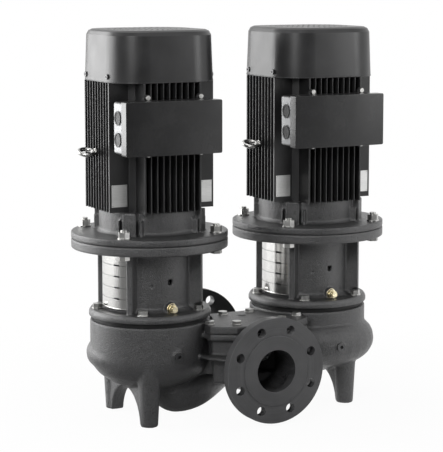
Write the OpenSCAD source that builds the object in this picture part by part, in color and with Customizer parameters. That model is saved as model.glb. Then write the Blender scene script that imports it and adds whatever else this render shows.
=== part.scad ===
// Twin in-line pump: two vertical motors on one flanged housing with a flap valve between them.
// The origin is on the floor, midway between the two port faces. X runs from pump to pump,
// -Y is the outlet side and +Z is up. All sizes are in millimetres.

/* [Ports] */
// Distance between the two port faces
port_to_port = 360; // [350:5:400]
// Height of the port axis above the floor
port_z = 105; // [102:1:112]
// Bore of both ports
port_d = 80; // [70:1:84]
// Outer diameter of the port flanges
flange_d = 200; // [190:5:205]
// Thickness of the port flanges, raised face included
flange_t = 20; // [16:1:24]
// Pitch circle of the port flange holes
flange_pcd = 160; // [150:1:164]
// Diameter of the port flange holes
flange_hole_d = 18; // [14:1:20]
// Diameter of the bolt holes in the inlet flange, a little wider to take up the pipe's misfit
inlet_hole_d = 19; // [18.5:0.5:20]
// Number of holes in each port flange
flange_holes = 8; // [4:4:8]
// Diameter of the raised face
face_d = 132; // [120:1:138]
// Height of the raised face
face_h = 2; // [1:0.5:3]

/* [Housing] */
// Distance between the two pump axes
pump_gap = 342; // [340:1:350]
// How far the pump axes lie behind the middle of the ports
pump_back = 10; // [6:1:14]
// Outer radius of the housing neck
neck_r = 114; // [112:0.5:116]
// Bore radius of the housing neck
neck_bore_r = 90; // [88:0.5:91]
// Top of the housing neck
neck_top = 189; // [186:1:191]
// Height of the volute's middle plane
volute_z = 122; // [120:1:126]
// Radius of the circle that the middle of the volute follows
volute_r = 93.6; // [92:0.1:95]
// Radius of the volute's section at its tongue
volute_small = 14; // [13:0.5:16]
// Radius of the volute's section where it leaves the turn
volute_end = 45; // [43:0.5:46]
// How the section grows along the turn: 1 is evenly, less is early
volute_power = 0.57; // [0.5:0.01:0.7]
// Wall thickness of the volute
volute_wall = 10; // [8:0.5:12]
// Outer radius of the suction branches
branch_r = 44; // [42:0.5:45]
// Bore radius of the suction branches
branch_bore_r = 34; // [30:0.5:35]
// Lowest point of the suction branches
branch_low = 4; // [3:1:6]
// Length of the bowl in which a branch ends
bowl_len = 66; // [60:1:72]
// Half the distance between the feet of one side
foot_dy = 82; // [76:1:86]
// Distance of the feet outside the pump axis
foot_dx = 40; // [36:1:44]
// Radius of a foot on the floor
foot_r = 16.5; // [14:0.5:18]
// Top of the arch between two feet
arch_top = 60; // [50:1:66]

/* [Flap valve] */
// Top of the valve chamber, under its cover
chamber_top = 172; // [170:1:174]
// Underside of the valve chamber
chamber_low = 74; // [70:1:76]
// Floor of the valve chamber
chamber_floor = 84; // [82:1:88]
// Thickness of the valve cover
valve_cover_t = 14; // [10:1:14]
// Where the flap's pin stands behind the outlet face
pin_back = 142; // [138:1:144]
// Diameter of the flap's pin
pin_d = 8; // [6:0.5:9]
// Swing of the flap to each side
flap_swing = 35; // [30:1:36]
// Length of the flap from its pin
flap_len = 58; // [50:1:60]
// Height of the flap
flap_h = 72; // [66:1:76]
// Thickness of the flap's plate
flap_t = 7; // [5:0.5:9]
// Thickness of the seal pad on each side
pad_t = 4; // [2:0.5:5]

/* [Stool] */
// Underside of the stool
stool_low = 197; // [195:1:199]
// Thickness of the stool's lower flange
stool_low_t = 14; // [10:1:16]
// Radius of the stool's lower flange
stool_low_r = 116; // [114:0.5:118]
// Top of the stool, where the motor stands
stool_top = 345; // [340:1:350]
// Thickness of the stool's upper flange
stool_top_t = 18; // [14:1:20]
// Radius of the stool's upper flange and of the motor flange
motor_flange_r = 148; // [147:0.5:150]
// Outer radius of the stool's wall
stool_r = 80; // [79:0.5:82]
// Wall thickness of the stool
stool_wall = 8; // [5:0.5:9]
// Outer reach of the stool's ribs
rib_r = 104; // [98:1:106]
// Thickness of a stool rib
rib_t = 12; // [8:0.5:13]
// Angle of the ribs from the front and the back
rib_angle = 46; // [44:1:48]
// Outer radius of the coupling guards
guard_r = 90; // [88:0.5:92]
// Thickness of a coupling guard
guard_t = 1.5; // [1:0.1:2]
// Pitch circle radius of the head bolts
head_bolt_r = 101; // [100:0.5:102]
// Number of head bolts on each pump
head_bolts_n = 5; // [5:1:5]
// Pitch circle diameter of the motor bolts
motor_pcd = 265; // [260:1:266]

/* [Motor] */
// Top of the motor flange
motor_flange_top = 358; // [356:1:360]
// Underside of the finned frame
frame_low = 402; // [400:1:404]
// Top of the finned frame
frame_top = 640; // [636:1:642]
// Outer radius of the frame without its fins
frame_r = 88; // [86:0.5:92]
// Half width over the fin tips
fin_tip = 106; // [104:0.5:106]
// Number of fins on one face
fins_n = 10; // [8:2:10]
// Pitch of the fins
fin_pitch = 12.4; // [11:0.1:12.6]
// Thickness of a fin
fin_t = 3; // [2:0.5:4]
// Bore radius of the finned frame
frame_bore_r = 78; // [76:0.5:80]
// Radius of the rotor core
rotor_r = 45.5; // [44:0.1:46]
// Air gap between the rotor and the stator
air_gap = 0.8; // [0.5:0.1:1]
// Top of the fan cover
motor_top = 735; // [730:1:740]
// Half width of the fan cover at its foot
hood_half = 106; // [106:0.5:108]
// Corner radius of the fan cover
hood_corner = 64; // [56:1:68]
// Thickness of the fan cover's sheet
hood_t = 2; // [1.5:0.5:3]

/* [Terminal box] */
// Left end of the terminal box, from the motor's axis
box_left = -118; // [-120:1:-110]
// Right end of the terminal box, from the motor's axis
box_right = 72; // [66:1:76]
// Underside of the terminal box
box_low = 515; // [513:1:520]
// Top of the terminal box
box_top = 612; // [606:1:613]
// Front of the lid, from the motor's axis
lid_front = 168; // [164:1:170]
// Where the lid meets the box, from the motor's axis
lid_back = 142; // [138:1:146]
// Wall thickness of the box and the lid
box_wall = 3.5; // [3:0.5:4]

/* [Hidden] */
$fn = 64;

// Colours of the castings, the motors and the small parts
cast_black = [0.12, 0.12, 0.125];
motor_black = [0.08, 0.08, 0.085];
zinc = [0.78, 0.78, 0.76];
steel = [0.72, 0.73, 0.75];
brass = [0.8, 0.66, 0.36];
rubber = [0.05, 0.05, 0.05];

// Clearances: a running fit, a drop-in fit and a gap between moving pieces
run_gap = 0.05;
drop_gap = 0.05;
move_gap = 0.5;
// Overlap that makes two shapes of one casting grow together
grow = 1;

// Where the volutes start, from the front toward +X
left_tongue = 10;
right_tongue = -87;
left_turn = 280;
right_turn = 273;

// Radial room between shafts and the pieces round them
shaft_r = 12;
motor_shaft_r = 14;
journal_r = 15;
core_shaft_r = 20;
bearing_r = 31;
bearing_w = 18;
lower_bearing_z = 364;
upper_bearing_z = 622;

// Flap chamber
pin_y = pin_back - port_to_port / 2;
seat_gap = 0.4;
seat_off = flap_t / 2 + pad_t + seat_gap;
front_wall_y = -99;
cover_bolts = [[93, -88], [48, -111], [29, -15]];

// Ways of the two throats, from the end of each volute to its seat
seat_along = 31;
seat_r = 24;
seat_x = seat_along * sin(flap_swing) + seat_off * cos(flap_swing);
seat_y = pin_y - seat_along * cos(flap_swing) + seat_off * sin(flap_swing);
left_throat = [[-pump_gap / 2 + volute_r, pump_back], [-pump_gap / 2 + volute_r, -24],
    [-seat_x - 26, seat_y + 18], [-seat_x, seat_y]];
right_throat = [[pump_gap / 2, pump_back - volute_r], [105, pump_back - volute_r],
    [seat_x + 42, seat_y + 14], [seat_x, seat_y]];

// Bolts
head_bolt_d = 10;
head_bolt_start = -104;
motor_bolt_d = 12;
bolt_head_af = 16;
motor_head_af = 19;

// Suction way: its fed middle, its lowest point under a pump and the way on to the eye
low_shift = 46;
middle = [0, 46, 74];
low_point = [pump_gap / 2 - low_shift, -6, branch_low + branch_r];
toward_eye = ([pump_gap / 2, pump_back] - [low_point[0], low_point[1]]) / norm([low_shift, pump_back - low_point[1]]);
inlet_end = port_to_port / 2 - flange_t;

// Outline of one pump's casing, as radius and height
casing_out = [[0, 58], [46, 58], [58, 64], [78, 72], [90, 80], [100, 88], [107, 97], [111.5, 107], [113.5, 118],
    [neck_r, volute_z + 6], [neck_r, neck_top], [0, neck_top]];

// Where the drain bosses sit: side, angle from the front, reach, height
drains = [[-1, 2, 121, 134], [1, -1, 141, 124]];
gauge_z = port_z + port_d / 2 + 22;

// Impeller, its rings and the room round it
imp_r = 84;
vane_r = 62;
shroud_z = 104.5;
back_z = 135;
eye_r = 38;
eye_neck_r = 44.5;
ring_r = 50;
ring_low = 84;
room_floor = 101;
cover_low = 150;
o_ring_z = 178;
seal_r = 24;
seal_low = 203;

// Vent on the stool's foot, guards, coupling and the spigot of the motor flange
vent_angle = 3;
vent_z = 219.6;
vent_boss_r = 11;
guard_low = stool_low + stool_low_t + 6;
guard_top = stool_top - stool_top_t - 8;
spigot_r = 75;
coupling_low = 232;
coupling_h = 62;

// Motor: lifting eyes, pad and ears of the terminal box, bulge of its lid, screws of the fan cover
eye_z = 510;
pad_half = 40;
box_w = box_right - box_left;
box_mid = (box_right + box_left) / 2;
box_back = fin_tip + 0.3;
ear_x = 53;
bulge_r = 900;
hood_low = frame_top;
screw_y = 50;
screw_z = 651;
lug_end = 101.5;
lug_w = 10;

function dir(a) = [sin(a), -cos(a)];
function rounded(w, h, r, n = 6) = [for (k = [0:3]) for (i = [0:n])
    let (a = 90 * k + 90 * i / n, sx = (k == 0 || k == 3) ? 1 : -1, sy = k < 2 ? 1 : -1)
    [sx * (w / 2 - r) + r * cos(a), sy * (h / 2 - r) + r * sin(a)]];

// Faces of a closed tube of n rings with m points each
function tube_faces(n, m) = concat(
    [[for (j = [0:m - 1]) j]],
    [for (i = [0:n - 2]) for (j = [0:m - 1]) each
        [[i * m + j, (i + 1) * m + j, i * m + (j + 1) % m],
         [i * m + (j + 1) % m, (i + 1) * m + j, (i + 1) * m + (j + 1) % m]]],
    [[for (j = [m - 1:-1:0]) (n - 1) * m + j]]);

// Place for everything that belongs to one pump: side is -1 for the left one
module at_pump(side) translate([side * pump_gap / 2, pump_back, 0]) children();

// Turn a shape that points to the front so that it points to an angle from the front toward +X
module toward(a) rotate([0, 0, a]) children();

// Hexagon prism with a size across its flats
module hex(af, h) cylinder(d = af / cos(30), h = h, $fn = 6);

// A bolt that stands on its shank, its head above z = 0
module hex_bolt(d, len, af, head_h) {
    hex(af, head_h);
    translate([0, 0, -len]) cylinder(d = d, h = len + grow / 2, $fn = 32);
}

// Section of a volute or throat: a half circle outward and two corners toward the pump axis
function section(p, u, r, inner, m) = concat(
    [for (j = [0:m]) let (a = -90 + 180 * j / m)
        [p[0] + u[0] * r * cos(a), p[1] + u[1] * r * cos(a), volute_z + r * sin(a)]],
    [for (e = [1, -1]) [p[0] - u[0] * inner, p[1] - u[1] * inner, volute_z + e * r]]);

// Volute that grows along its turn and runs on through a bent throat to the flap's seat
function bez(a, b, c, d, t) =
    pow(1 - t, 3) * a + 3 * pow(1 - t, 2) * t * b + 3 * (1 - t) * t * t * c + pow(t, 3) * d;
module volute(side, less, inner, reach, n = 26, k = 8, m = 10) {
    start = side < 0 ? left_tongue : right_tongue;
    turn = side < 0 ? left_turn : right_turn;
    off = [side * pump_gap / 2, pump_back];
    way = side < 0 ? left_throat : right_throat;
    spiral = [for (i = [0:n]) let (f = turn * i / n, u = dir(start - f))
        section(off + volute_r * u, u, volute_section(f / turn) - less, inner, m)];
    throat = [for (i = [1:k]) let (t = reach * i / k, p = bez(way[0], way[1], way[2], way[3], t),
        q = bez(way[0], way[1], way[2], way[3], t + 0.01) - p, u = [-q[1], q[0]] / norm(q),
        r = volute_end - less + (seat_r + wall_of(less) - volute_end + less) * t)
        section(p, u, r, inner + (r - inner) * min(1, 2 * t), m)];
    polyhedron([for (ring = concat(spiral, throat)) each ring], tube_faces(n + k + 1, m + 3));
}
function volute_section(t) = max(volute_small, volute_end * pow(t, volute_power));
function wall_of(less) = less > 0 ? 0 : volute_wall;

// Suction way: one tube from bowl to bowl under the two pumps, fed in its middle by the inlet
function bowl_r(e) = branch_r * sqrt(1 - pow(e / bowl_len, 2));
function way_at(t) = t < 1
    ? concat(bez(middle, middle + [36, 0, -6], low_point - low_shift * [toward_eye[0], toward_eye[1], 0], low_point, t), 0)
    : let (e = (t - 1) * 0.985 * bowl_len)
        concat(low_point + [toward_eye[0] * e, toward_eye[1] * e, branch_r - bowl_r(e)], branch_r - bowl_r(e));
module suction_way(less, n, m) {
    half = [for (i = [0:n]) let (t = 2 * i / n, p = way_at(t), q = way_at(min(1, t) + 0.01) - way_at(min(1, t) - 0.01),
        s = [-q[1], q[0], 0] / norm([q[0], q[1]]), r = branch_r - less - p[3])
        if (r > 3 + less) [for (j = [0:m - 1]) let (a = 360 * j / m)
            [p[0], p[1], p[2]] + r * (cos(a) * s + [0, 0, sin(a)])]];
    other = [for (i = [len(half) - 1:-1:1]) [for (v = half[i]) [-v[0], v[1], v[2]]]];
    rings = concat(other, half);
    polyhedron([for (ring = rings) each ring], tube_faces(len(rings), m));
}
module inlet_way(r1, r2) {
    v = middle - [0, inlet_end - 10, port_z];
    translate([0, inlet_end - 10, port_z]) rotate([90 + atan2(-v[2], -v[1]), 0, 0])
        cylinder(r1 = r1, r2 = r2, h = norm(v) - 3);
}

// Port flange that lies in the XZ plane, its face at y = 0 and its body toward +Y
module port_flange() rotate([-90, 0, 0]) {
    cylinder(d = face_d, h = face_h + grow, $fn = 96);
    translate([0, 0, face_h]) cylinder(d = flange_d, h = flange_t - face_h, $fn = 128);
    translate([0, 0, flange_t - grow]) cylinder(r1 = port_d / 2 + 24, r2 = port_d / 2 + 13, h = 12);
}
module port_cut(depth, hole_d) rotate([-90, 0, 0]) {
    translate([0, 0, -grow]) cylinder(d = port_d, h = depth + grow, $fn = 96);
    for (i = [0:flange_holes - 1]) rotate([0, 0, (i + 0.5) * 360 / flange_holes])
        translate([flange_pcd / 2, 0, -grow]) cylinder(d = hole_d, h = flange_t + 2 * grow, $fn = 32);
}

// Outline of the valve cover: wide behind the outlet, narrow between the pump necks
module cover_outline(less = 0) difference() {
    polygon([[-104 + less, -112 + less], [-62, -140 + less], [62, -140 + less], [104 - less, -112 + less],
        [104 - less, -86], [62 - less, 2 - less], [-62 + less, 2 - less], [-104 + less, -86]]);
    for (side = [-1, 1]) translate([side * pump_gap / 2, pump_back]) circle(r = neck_r + 4 + less, $fn = 96);
}

// Room that the flap swings in, a wedge whose sides are the two seats
module flap_room() {
    reach = (pin_y - front_wall_y) / cos(flap_swing) + 14;
    difference() {
        translate([-70, front_wall_y, chamber_floor]) cube([140, pin_y - front_wall_y + 12, 120]);
        for (side = [-1, 1]) translate([0, pin_y, 0]) rotate([0, 0, side * flap_swing])
            translate([side > 0 ? seat_off : -seat_off - 90, -reach, chamber_floor - grow])
                cube([90, reach + 40, 140]);
    }
}

module foot_pair(side) {
    x = side * (pump_gap / 2 + foot_dx);
    for (e = [-1, 1]) translate([x, pump_back + e * foot_dy, 0])
        cylinder(r1 = foot_r, r2 = foot_r + 6, h = volute_z - 6);
    difference() {
        translate([x - 13, pump_back - foot_dy, 0]) cube([26, 2 * foot_dy, volute_z - 22]);
        translate([x - 20, pump_back, arch_top - foot_dy + foot_r - 0.5]) rotate([0, 90, 0])
            cylinder(r = foot_dy - foot_r + 0.5, h = 40, $fn = 96);
    }
}

// Room inside one pump's casing
module casing_room() rotate_extrude($fn = 128) polygon([[0, 70], [eye_r, 70],
    [eye_r, ring_low], [ring_r, ring_low], [ring_r, room_floor], [neck_bore_r, room_floor],
    [neck_bore_r, neck_top + grow], [0, neck_top + grow]]);

module at_drain(d) at_pump(d[0]) toward(d[1]) translate([0, -d[2], d[3]]) rotate([90, 0, 0]) children();
module at_gauges() for (y = [-151, 151]) translate([0, y, gauge_z]) children();

module pump_housing() color(cast_black) difference() {
    union() {
        for (side = [-1, 1]) {
            at_pump(side) rotate_extrude($fn = 128) polygon(casing_out);
            volute(side, 0, 22, 0.7);
            foot_pair(side);
            rib_plate(side);
        }
        suction_way(0, 24, 24);
        inlet_way(port_d / 2 + 11, branch_r - 1);
        translate([0, inlet_end + grow, port_z]) rotate([90, 0, 0]) cylinder(r = port_d / 2 + 13, h = 24);
        translate([0, -port_to_port / 2, port_z]) port_flange();
        translate([0, port_to_port / 2, port_z]) mirror([0, 1, 0]) port_flange();
        translate([0, -port_to_port / 2 + flange_t - grow, port_z]) rotate([-90, 0, 0])
            cylinder(r = port_d / 2 + 13, h = 76);
        translate([0, 0, chamber_low]) linear_extrude(62) cover_outline(13);
        translate([0, 0, 132]) linear_extrude(chamber_top - 132) cover_outline(9);
        translate([0, 0, chamber_top - 13]) linear_extrude(13) cover_outline(0);
        for (d = drains) at_drain(d) translate([0, 0, -20]) cylinder(r = 10, h = 18);
        at_gauges() translate([0, 0, -14]) cylinder(r = 10, h = 14);
    }
    for (side = [-1, 1]) {
        at_pump(side) casing_room();
        volute(side, volute_wall, 14, 1, 24, 8, 8);
        at_pump(side) head_bolt_places() translate([0, 0, neck_top - 26])
            cylinder(d = head_bolt_d, h = 30, $fn = 32);
    }
    suction_way(branch_r - branch_bore_r, 20, 16);
    inlet_way(port_d / 2 - 0.5, branch_bore_r - 1);
    translate([0, middle[1] - 32, port_z]) rotate([-90, 0, 0]) cylinder(r = 9, h = 40, $fn = 48);
    translate([0, -port_to_port / 2, port_z]) port_cut(port_to_port / 2 + front_wall_y + 1, flange_hole_d);
    translate([0, port_to_port / 2, port_z]) mirror([0, 1, 0]) port_cut(flange_t + 14, inlet_hole_d);
    flap_room();
    at_cover_bolts() translate([0, 0, chamber_top - 20]) cylinder(d = head_bolt_d, h = 30, $fn = 32);
    for (d = drains) at_drain(d) translate([0, 0, -14]) cylinder(r = 6.5, h = 20, $fn = 32);
    at_gauges() translate([0, 0, -8]) cylinder(r = 6.5, h = 20, $fn = 32);
    translate([0, pin_y, chamber_floor - 8]) cylinder(d = pin_d, h = 20, $fn = 32);
}

// Flat rib at the volute's middle, from the neck to the outlet flange
module rib_plate(side) translate([0, 0, volute_z + 2]) linear_extrude(6)
    polygon([[side * 120, -84], [side * 112, -118], [side * 84, -port_to_port / 2 + flange_t + 2],
        [side * 50, -port_to_port / 2 + flange_t + 2], [side * 50, -110]]);

module at_cover_bolts() for (p = cover_bolts, side = [-1, 1]) translate([side * p[0], p[1], 0]) children();
module head_bolt_places() for (i = [0:head_bolts_n - 1])
    toward(head_bolt_start + i * 360 / head_bolts_n) translate([0, -head_bolt_r, 0]) children();
module motor_bolt_places() for (i = [0:3]) toward(45 + 90 * i)
    translate([0, -motor_pcd / 2, 0]) children();

module valve_cover() color(cast_black) difference() {
    union() {
        translate([0, 0, chamber_top]) linear_extrude(valve_cover_t) cover_outline(0);
        translate([0, pin_y, chamber_top + valve_cover_t - 0.1]) cylinder(r = 8, h = 2.1);
    }
    at_cover_bolts() translate([0, 0, chamber_top - grow]) cylinder(d = head_bolt_d + 1, h = 30, $fn = 32);
    translate([0, pin_y, chamber_top - grow]) cylinder(d = pin_d, h = 9, $fn = 32);
}
module valve_cover_bolts() color(zinc) at_cover_bolts() translate([0, 0, chamber_top + valve_cover_t])
    hex_bolt(head_bolt_d, 30, bolt_head_af, 6.4);

module flap_pin() color(steel) translate([0, pin_y, chamber_floor - 8])
    cylinder(d = pin_d, h = chamber_top + 8 - chamber_floor + 8, $fn = 32);
module flap() color([0.35, 0.36, 0.38]) translate([0, pin_y, 0]) {
    low = volute_z - flap_h / 2;
    difference() {
        union() {
            translate([0, 0, low]) cylinder(r = flap_t / 2 + 3.5, h = flap_h, $fn = 48);
            translate([-flap_t / 2, -flap_len, low]) cube([flap_t, flap_len, flap_h]);
            translate([-flap_t / 2 - pad_t, -seat_along, volute_z]) rotate([0, 90, 0])
                cylinder(r = seat_r + 3, h = flap_t + 2 * pad_t);
        }
        translate([0, 0, low - grow]) cylinder(r = pin_d / 2 + run_gap, h = flap_h + 2 * grow, $fn = 32);
    }
}

module socket_plug(r, len) difference() {
    union() {
        cylinder(r = r, h = len, $fn = 32);
        translate([0, 0, len - 2.5]) cylinder(r = r + 2, h = 2.5, $fn = 48);
    }
    translate([0, 0, len - 5]) hex(7, 6);
}
module housing_plugs() color(motor_black) {
    for (d = drains) at_drain(d) translate([0, 0, -12]) socket_plug(6.5, 12.5);
    at_gauges() translate([0, 0, -8]) socket_plug(6.5, 10.5);
}

module wear_rings() color(brass) for (side = [-1, 1]) at_pump(side) translate([0, 0, ring_low])
    difference() {
        cylinder(r = ring_r - drop_gap, h = room_floor - ring_low - 1, $fn = 96);
        translate([0, 0, -grow]) cylinder(r = eye_neck_r + move_gap, h = 40, $fn = 96);
    }

// Head cover: closes the casing over the impeller and carries the shaft seal
module head_cover() color(cast_black) difference() {
    rotate_extrude($fn = 128) polygon([[seal_r, cover_low], [neck_bore_r - drop_gap, cover_low],
        [neck_bore_r - drop_gap, neck_top], [108, neck_top], [108, stool_low], [79, stool_low], [79, 166],
        [46, 166], [34, 214], [seal_r, 214]]);
    head_bolt_places() translate([0, 0, neck_top - grow]) cylinder(d = head_bolt_d + 1, h = 20, $fn = 32);
    translate([0, 0, o_ring_z]) rotate_extrude($fn = 96) translate([neck_bore_r - 3.4, -2]) square([4, 4]);
}
module head_o_rings() color(rubber) for (side = [-1, 1]) at_pump(side) translate([0, 0, o_ring_z])
    rotate_extrude($fn = 96) translate([neck_bore_r - 1.75, 0]) circle(r = 1.6, $fn = 24);
module seal_seats() color([0.3, 0.3, 0.32]) for (side = [-1, 1]) at_pump(side)
    translate([0, 0, seal_low]) difference() {
        cylinder(r = seal_r - drop_gap, h = 10);
        translate([0, 0, -grow]) cylinder(r = shaft_r + move_gap, h = 20);
    }
module head_bolts() color(zinc) for (side = [-1, 1]) at_pump(side) head_bolt_places()
    translate([0, 0, stool_low + stool_low_t]) {
        cylinder(r = 10.5, h = 2, $fn = 48);
        translate([0, 0, 1.9]) hex_bolt(head_bolt_d, 44, bolt_head_af, 7.5);
    }

// Stool: carries the motor over the coupling and is open at both sides
module at_vent() toward(vent_angle) translate([0, -stool_r, vent_z]) rotate([90, 0, 0]) children();
module motor_stool() color(cast_black) difference() {
    union() {
        rotate_extrude($fn = 128) polygon([[60, stool_low], [stool_low_r, stool_low],
            [stool_low_r, stool_low + 8], [stool_low_r - 4, stool_low + stool_low_t],
            [stool_r + 8, stool_low + stool_low_t], [stool_r, stool_low + stool_low_t + 8],
            [stool_r, stool_top - stool_top_t - 10], [stool_r + 12, stool_top - stool_top_t],
            [motor_flange_r, stool_top - stool_top_t], [motor_flange_r, stool_top - 1],
            [motor_flange_r - 1, stool_top],
            [spigot_r, stool_top], [spigot_r, stool_top - stool_top_t],
            [stool_r - stool_wall, stool_top - stool_top_t - 6],
            [stool_r - stool_wall, stool_low + stool_low_t], [60, stool_low + stool_low_t]]);
        for (a = [rib_angle, 180 - rib_angle, -rib_angle, rib_angle - 180]) toward(a) rotate([90, 0, -90])
            translate([0, 0, -rib_t / 2]) linear_extrude(rib_t) polygon([
                [stool_r - stool_wall + 1, stool_low + stool_low_t - grow],
                [rib_r, stool_low + stool_low_t - grow], [rib_r, stool_top - stool_top_t + grow],
                [stool_r - stool_wall + 1, stool_top - stool_top_t + grow]]);
        at_vent() translate([0, 0, -4]) cylinder(r = vent_boss_r, h = 11.5);
    }
    for (side = [-1, 1]) intersection() {
        translate([side > 0 ? 20 : -140, -90, stool_low + stool_low_t + 6])
            cube([120, 180, stool_top - stool_top_t - stool_low - stool_low_t - 14]);
        window_wedge(side, rib_angle + 1);
    }
    head_bolt_places() {
        translate([0, 0, stool_low - grow]) cylinder(d = head_bolt_d + 1, h = 40, $fn = 32);
        translate([0, 0, stool_low + stool_low_t]) cylinder(d = bolt_head_af + 5, h = 12, $fn = 32);
    }
    motor_bolt_places() translate([0, 0, stool_top - 40]) cylinder(d = motor_bolt_d + 1, h = 60, $fn = 32);
    toward(4) translate([-4.5, -stool_r - 10, 263]) cube([9, 30, 10]);
    for (a = [-22, 31]) toward(a) translate([0, -stool_r + 20, 262]) rotate([90, 0, 0])
        cylinder(r = 2.2, h = 30, $fn = 24);
    at_vent() translate([0, 0, -8]) cylinder(r = 5, h = 20, $fn = 32);
}
module window_wedge(side, a) linear_extrude(400) polygon([[0, 0], 160 * dir(side * (a + 4)),
    [side * 220, 0], 160 * dir(side * (176 - a))]);

// Two curved sheets that close the stool's windows
module coupling_guards() color([0.82, 0.83, 0.85]) for (side = [-1, 1]) difference() {
    intersection() {
        translate([0, 0, guard_low]) difference() {
            cylinder(r = guard_r, h = guard_top - guard_low, $fn = 128);
            translate([0, 0, -grow]) cylinder(r = guard_r - guard_t, h = 200, $fn = 128);
        }
        window_wedge(side, rib_angle);
    }
    for (row = [0:3], a = [68, 112]) toward(side * a)
        translate([-7, -guard_r - 5, guard_low + 18 + 21 * row]) cube([14, 12, 3.5]);
}

module vent_bodies() color(brass) for (side = [-1, 1]) at_pump(side) at_vent() difference() {
    union() {
        translate([0, 0, -6]) cylinder(r = 5, h = 15, $fn = 32);
        translate([0, 0, 8]) hex(15, 5);
        translate([0, 0, 12.9]) cylinder(r = 7, h = 5.1);
    }
    translate([0, 0, 9]) cylinder(r = 3, h = 12, $fn = 32);
}
module vent_screw() color(brass) at_vent() difference() {
    union() {
        translate([0, 0, 10]) cylinder(r = 3 - run_gap, h = 8.2, $fn = 32);
        translate([0, 0, 18.3]) cylinder(r = 5.4, h = 3.4);
        translate([0, 0, 18]) cylinder(r = 2.4, h = 1, $fn = 32);
    }
    translate([-6, -0.7, 20.2]) cube([12, 1.4, 3]);
}

// Lower motor shield with the motor's flange
module end_shield() color(cast_black) difference() {
    union() {
        rotate_extrude($fn = 128) polygon([[24, 352], [spigot_r - 6, 352], [spigot_r - 6, 340],
            [spigot_r - drop_gap, 340], [spigot_r - drop_gap, stool_top], [motor_flange_r - 1, stool_top],
            [motor_flange_r, stool_top + 1], [motor_flange_r, motor_flange_top - 1],
            [motor_flange_r - 1, motor_flange_top], [100, motor_flange_top], [95, motor_flange_top + 5],
            [95, frame_low], [72, frame_low], [72, 372], [40, 372], [40, 388], [24, 388]]);
        for (i = [0:3]) toward(45 + 90 * i) {
            translate([-13, -107, motor_flange_top - grow]) cube([26, 20, frame_low - motor_flange_top + grow]);
            for (e = [-24, 20]) translate([e, -104, motor_flange_top - grow]) cube([4, 24, 30]);
        }
    }
    translate([0, 0, lower_bearing_z]) cylinder(r = bearing_r, h = 60, $fn = 96);
    translate([0, 0, 330]) cylinder(r = core_shaft_r + 2, h = 80);
    motor_bolt_places() translate([0, 0, 330]) cylinder(d = motor_bolt_d + 1, h = 60, $fn = 32);
}
module flange_bolts() color(zinc) for (side = [-1, 1]) at_pump(side) motor_bolt_places()
    translate([0, 0, stool_top - stool_top_t]) rotate([180, 0, 0])
        hex_bolt(motor_bolt_d, motor_flange_top - stool_top + stool_top_t + 17, motor_head_af, 8);
module flange_nuts() color(zinc) for (side = [-1, 1]) at_pump(side) motor_bolt_places()
    translate([0, 0, motor_flange_top]) difference() {
        union() {
            cylinder(r = 12, h = 2.5, $fn = 48);
            translate([0, 0, 2.4]) hex(motor_head_af, 10.6);
        }
        translate([0, 0, -grow]) cylinder(d = motor_bolt_d, h = 20, $fn = 32);
    }

// Finned motor frame: a round body with a block of parallel fins on each of its four sides
module frame_section() difference() {
    union() {
        circle(r = frame_r, $fn = 128);
        for (k = [0:3], i = [0:fins_n - 1]) rotate([0, 0, 90 * k])
            translate([(i - (fins_n - 1) / 2) * fin_pitch - fin_t / 2, frame_r * 0.7])
                square([fin_t, fin_tip - frame_r * 0.7]);
    }
    circle(r = frame_bore_r, $fn = 128);
}
module stator_frame() color(motor_black) difference() {
    union() {
        translate([0, 0, frame_low]) linear_extrude(frame_top - frame_low) frame_section();
        translate([-pad_half, -fin_tip, box_low + 8])
            cube([2 * pad_half, fin_tip - frame_r + 8, box_top - box_low - 16]);
    }
    for (side = [-1, 1]) translate([side * (frame_r + 20), 0, eye_z]) rotate([0, -side * 90, 0])
        cylinder(r = 4, h = 28, $fn = 32);
    translate([0, 0, (box_low + box_top) / 2]) rotate([90, 0, 0]) cylinder(r = 14, h = 140);
}

module stator() {
    color([0.55, 0.56, 0.58]) translate([0, 0, 440]) difference() {
        cylinder(r = frame_bore_r - drop_gap, h = 150, $fn = 128);
        translate([0, 0, -grow]) cylinder(r = rotor_r + air_gap, h = 200, $fn = 96);
    }
    color([0.72, 0.42, 0.2]) for (z = [418, 590]) translate([0, 0, z]) difference() {
        cylinder(r = 72, h = 22, $fn = 96);
        translate([0, 0, -grow]) cylinder(r = 52, h = 40, $fn = 96);
    }
}

module at_hood_screws() for (side = [-1, 1], y = [-screw_y, screw_y])
    translate([side * hood_half, y, screw_z]) rotate([0, -side * 90, 0]) children();
module upper_shield() color(motor_black) difference() {
    union() {
        translate([0, 0, frame_top]) cylinder(r = frame_r, h = 8, $fn = 128);
        for (side = [-1, 1], y = [-screw_y, screw_y]) {
            translate([side * (lug_end - 18), y, frame_top + 4]) cube([36, lug_w, 8], center = true);
            translate([side * (lug_end - 6), y, frame_top + 8.5]) cube([12, lug_w, 17], center = true);
        }
        translate([0, 0, 618]) cylinder(r = bearing_r + 7, h = 24);
        translate([0, 0, 630]) difference() {
            cylinder(r = frame_bore_r - drop_gap, h = 11, $fn = 128);
            translate([0, 0, -grow]) cylinder(r = 70, h = 10);
        }
    }
    translate([0, 0, 600]) cylinder(r = bearing_r, h = upper_bearing_z + bearing_w - 600, $fn = 96);
    translate([0, 0, 600]) cylinder(r = journal_r + 1, h = 80);
    at_hood_screws() cylinder(r = 3, h = 14, $fn = 24);
}

module bearings() color(steel) for (side = [-1, 1], z = [lower_bearing_z, upper_bearing_z])
    at_pump(side) translate([0, 0, z]) rotate_extrude($fn = 96) polygon([[journal_r + run_gap, 0],
        [20, 0], [20, 2], [26, 2], [26, 0], [bearing_r - 0.02, 0], [bearing_r - 0.02, bearing_w],
        [26, bearing_w], [26, bearing_w - 2], [20, bearing_w - 2], [20, bearing_w],
        [journal_r + run_gap, bearing_w]]);

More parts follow.
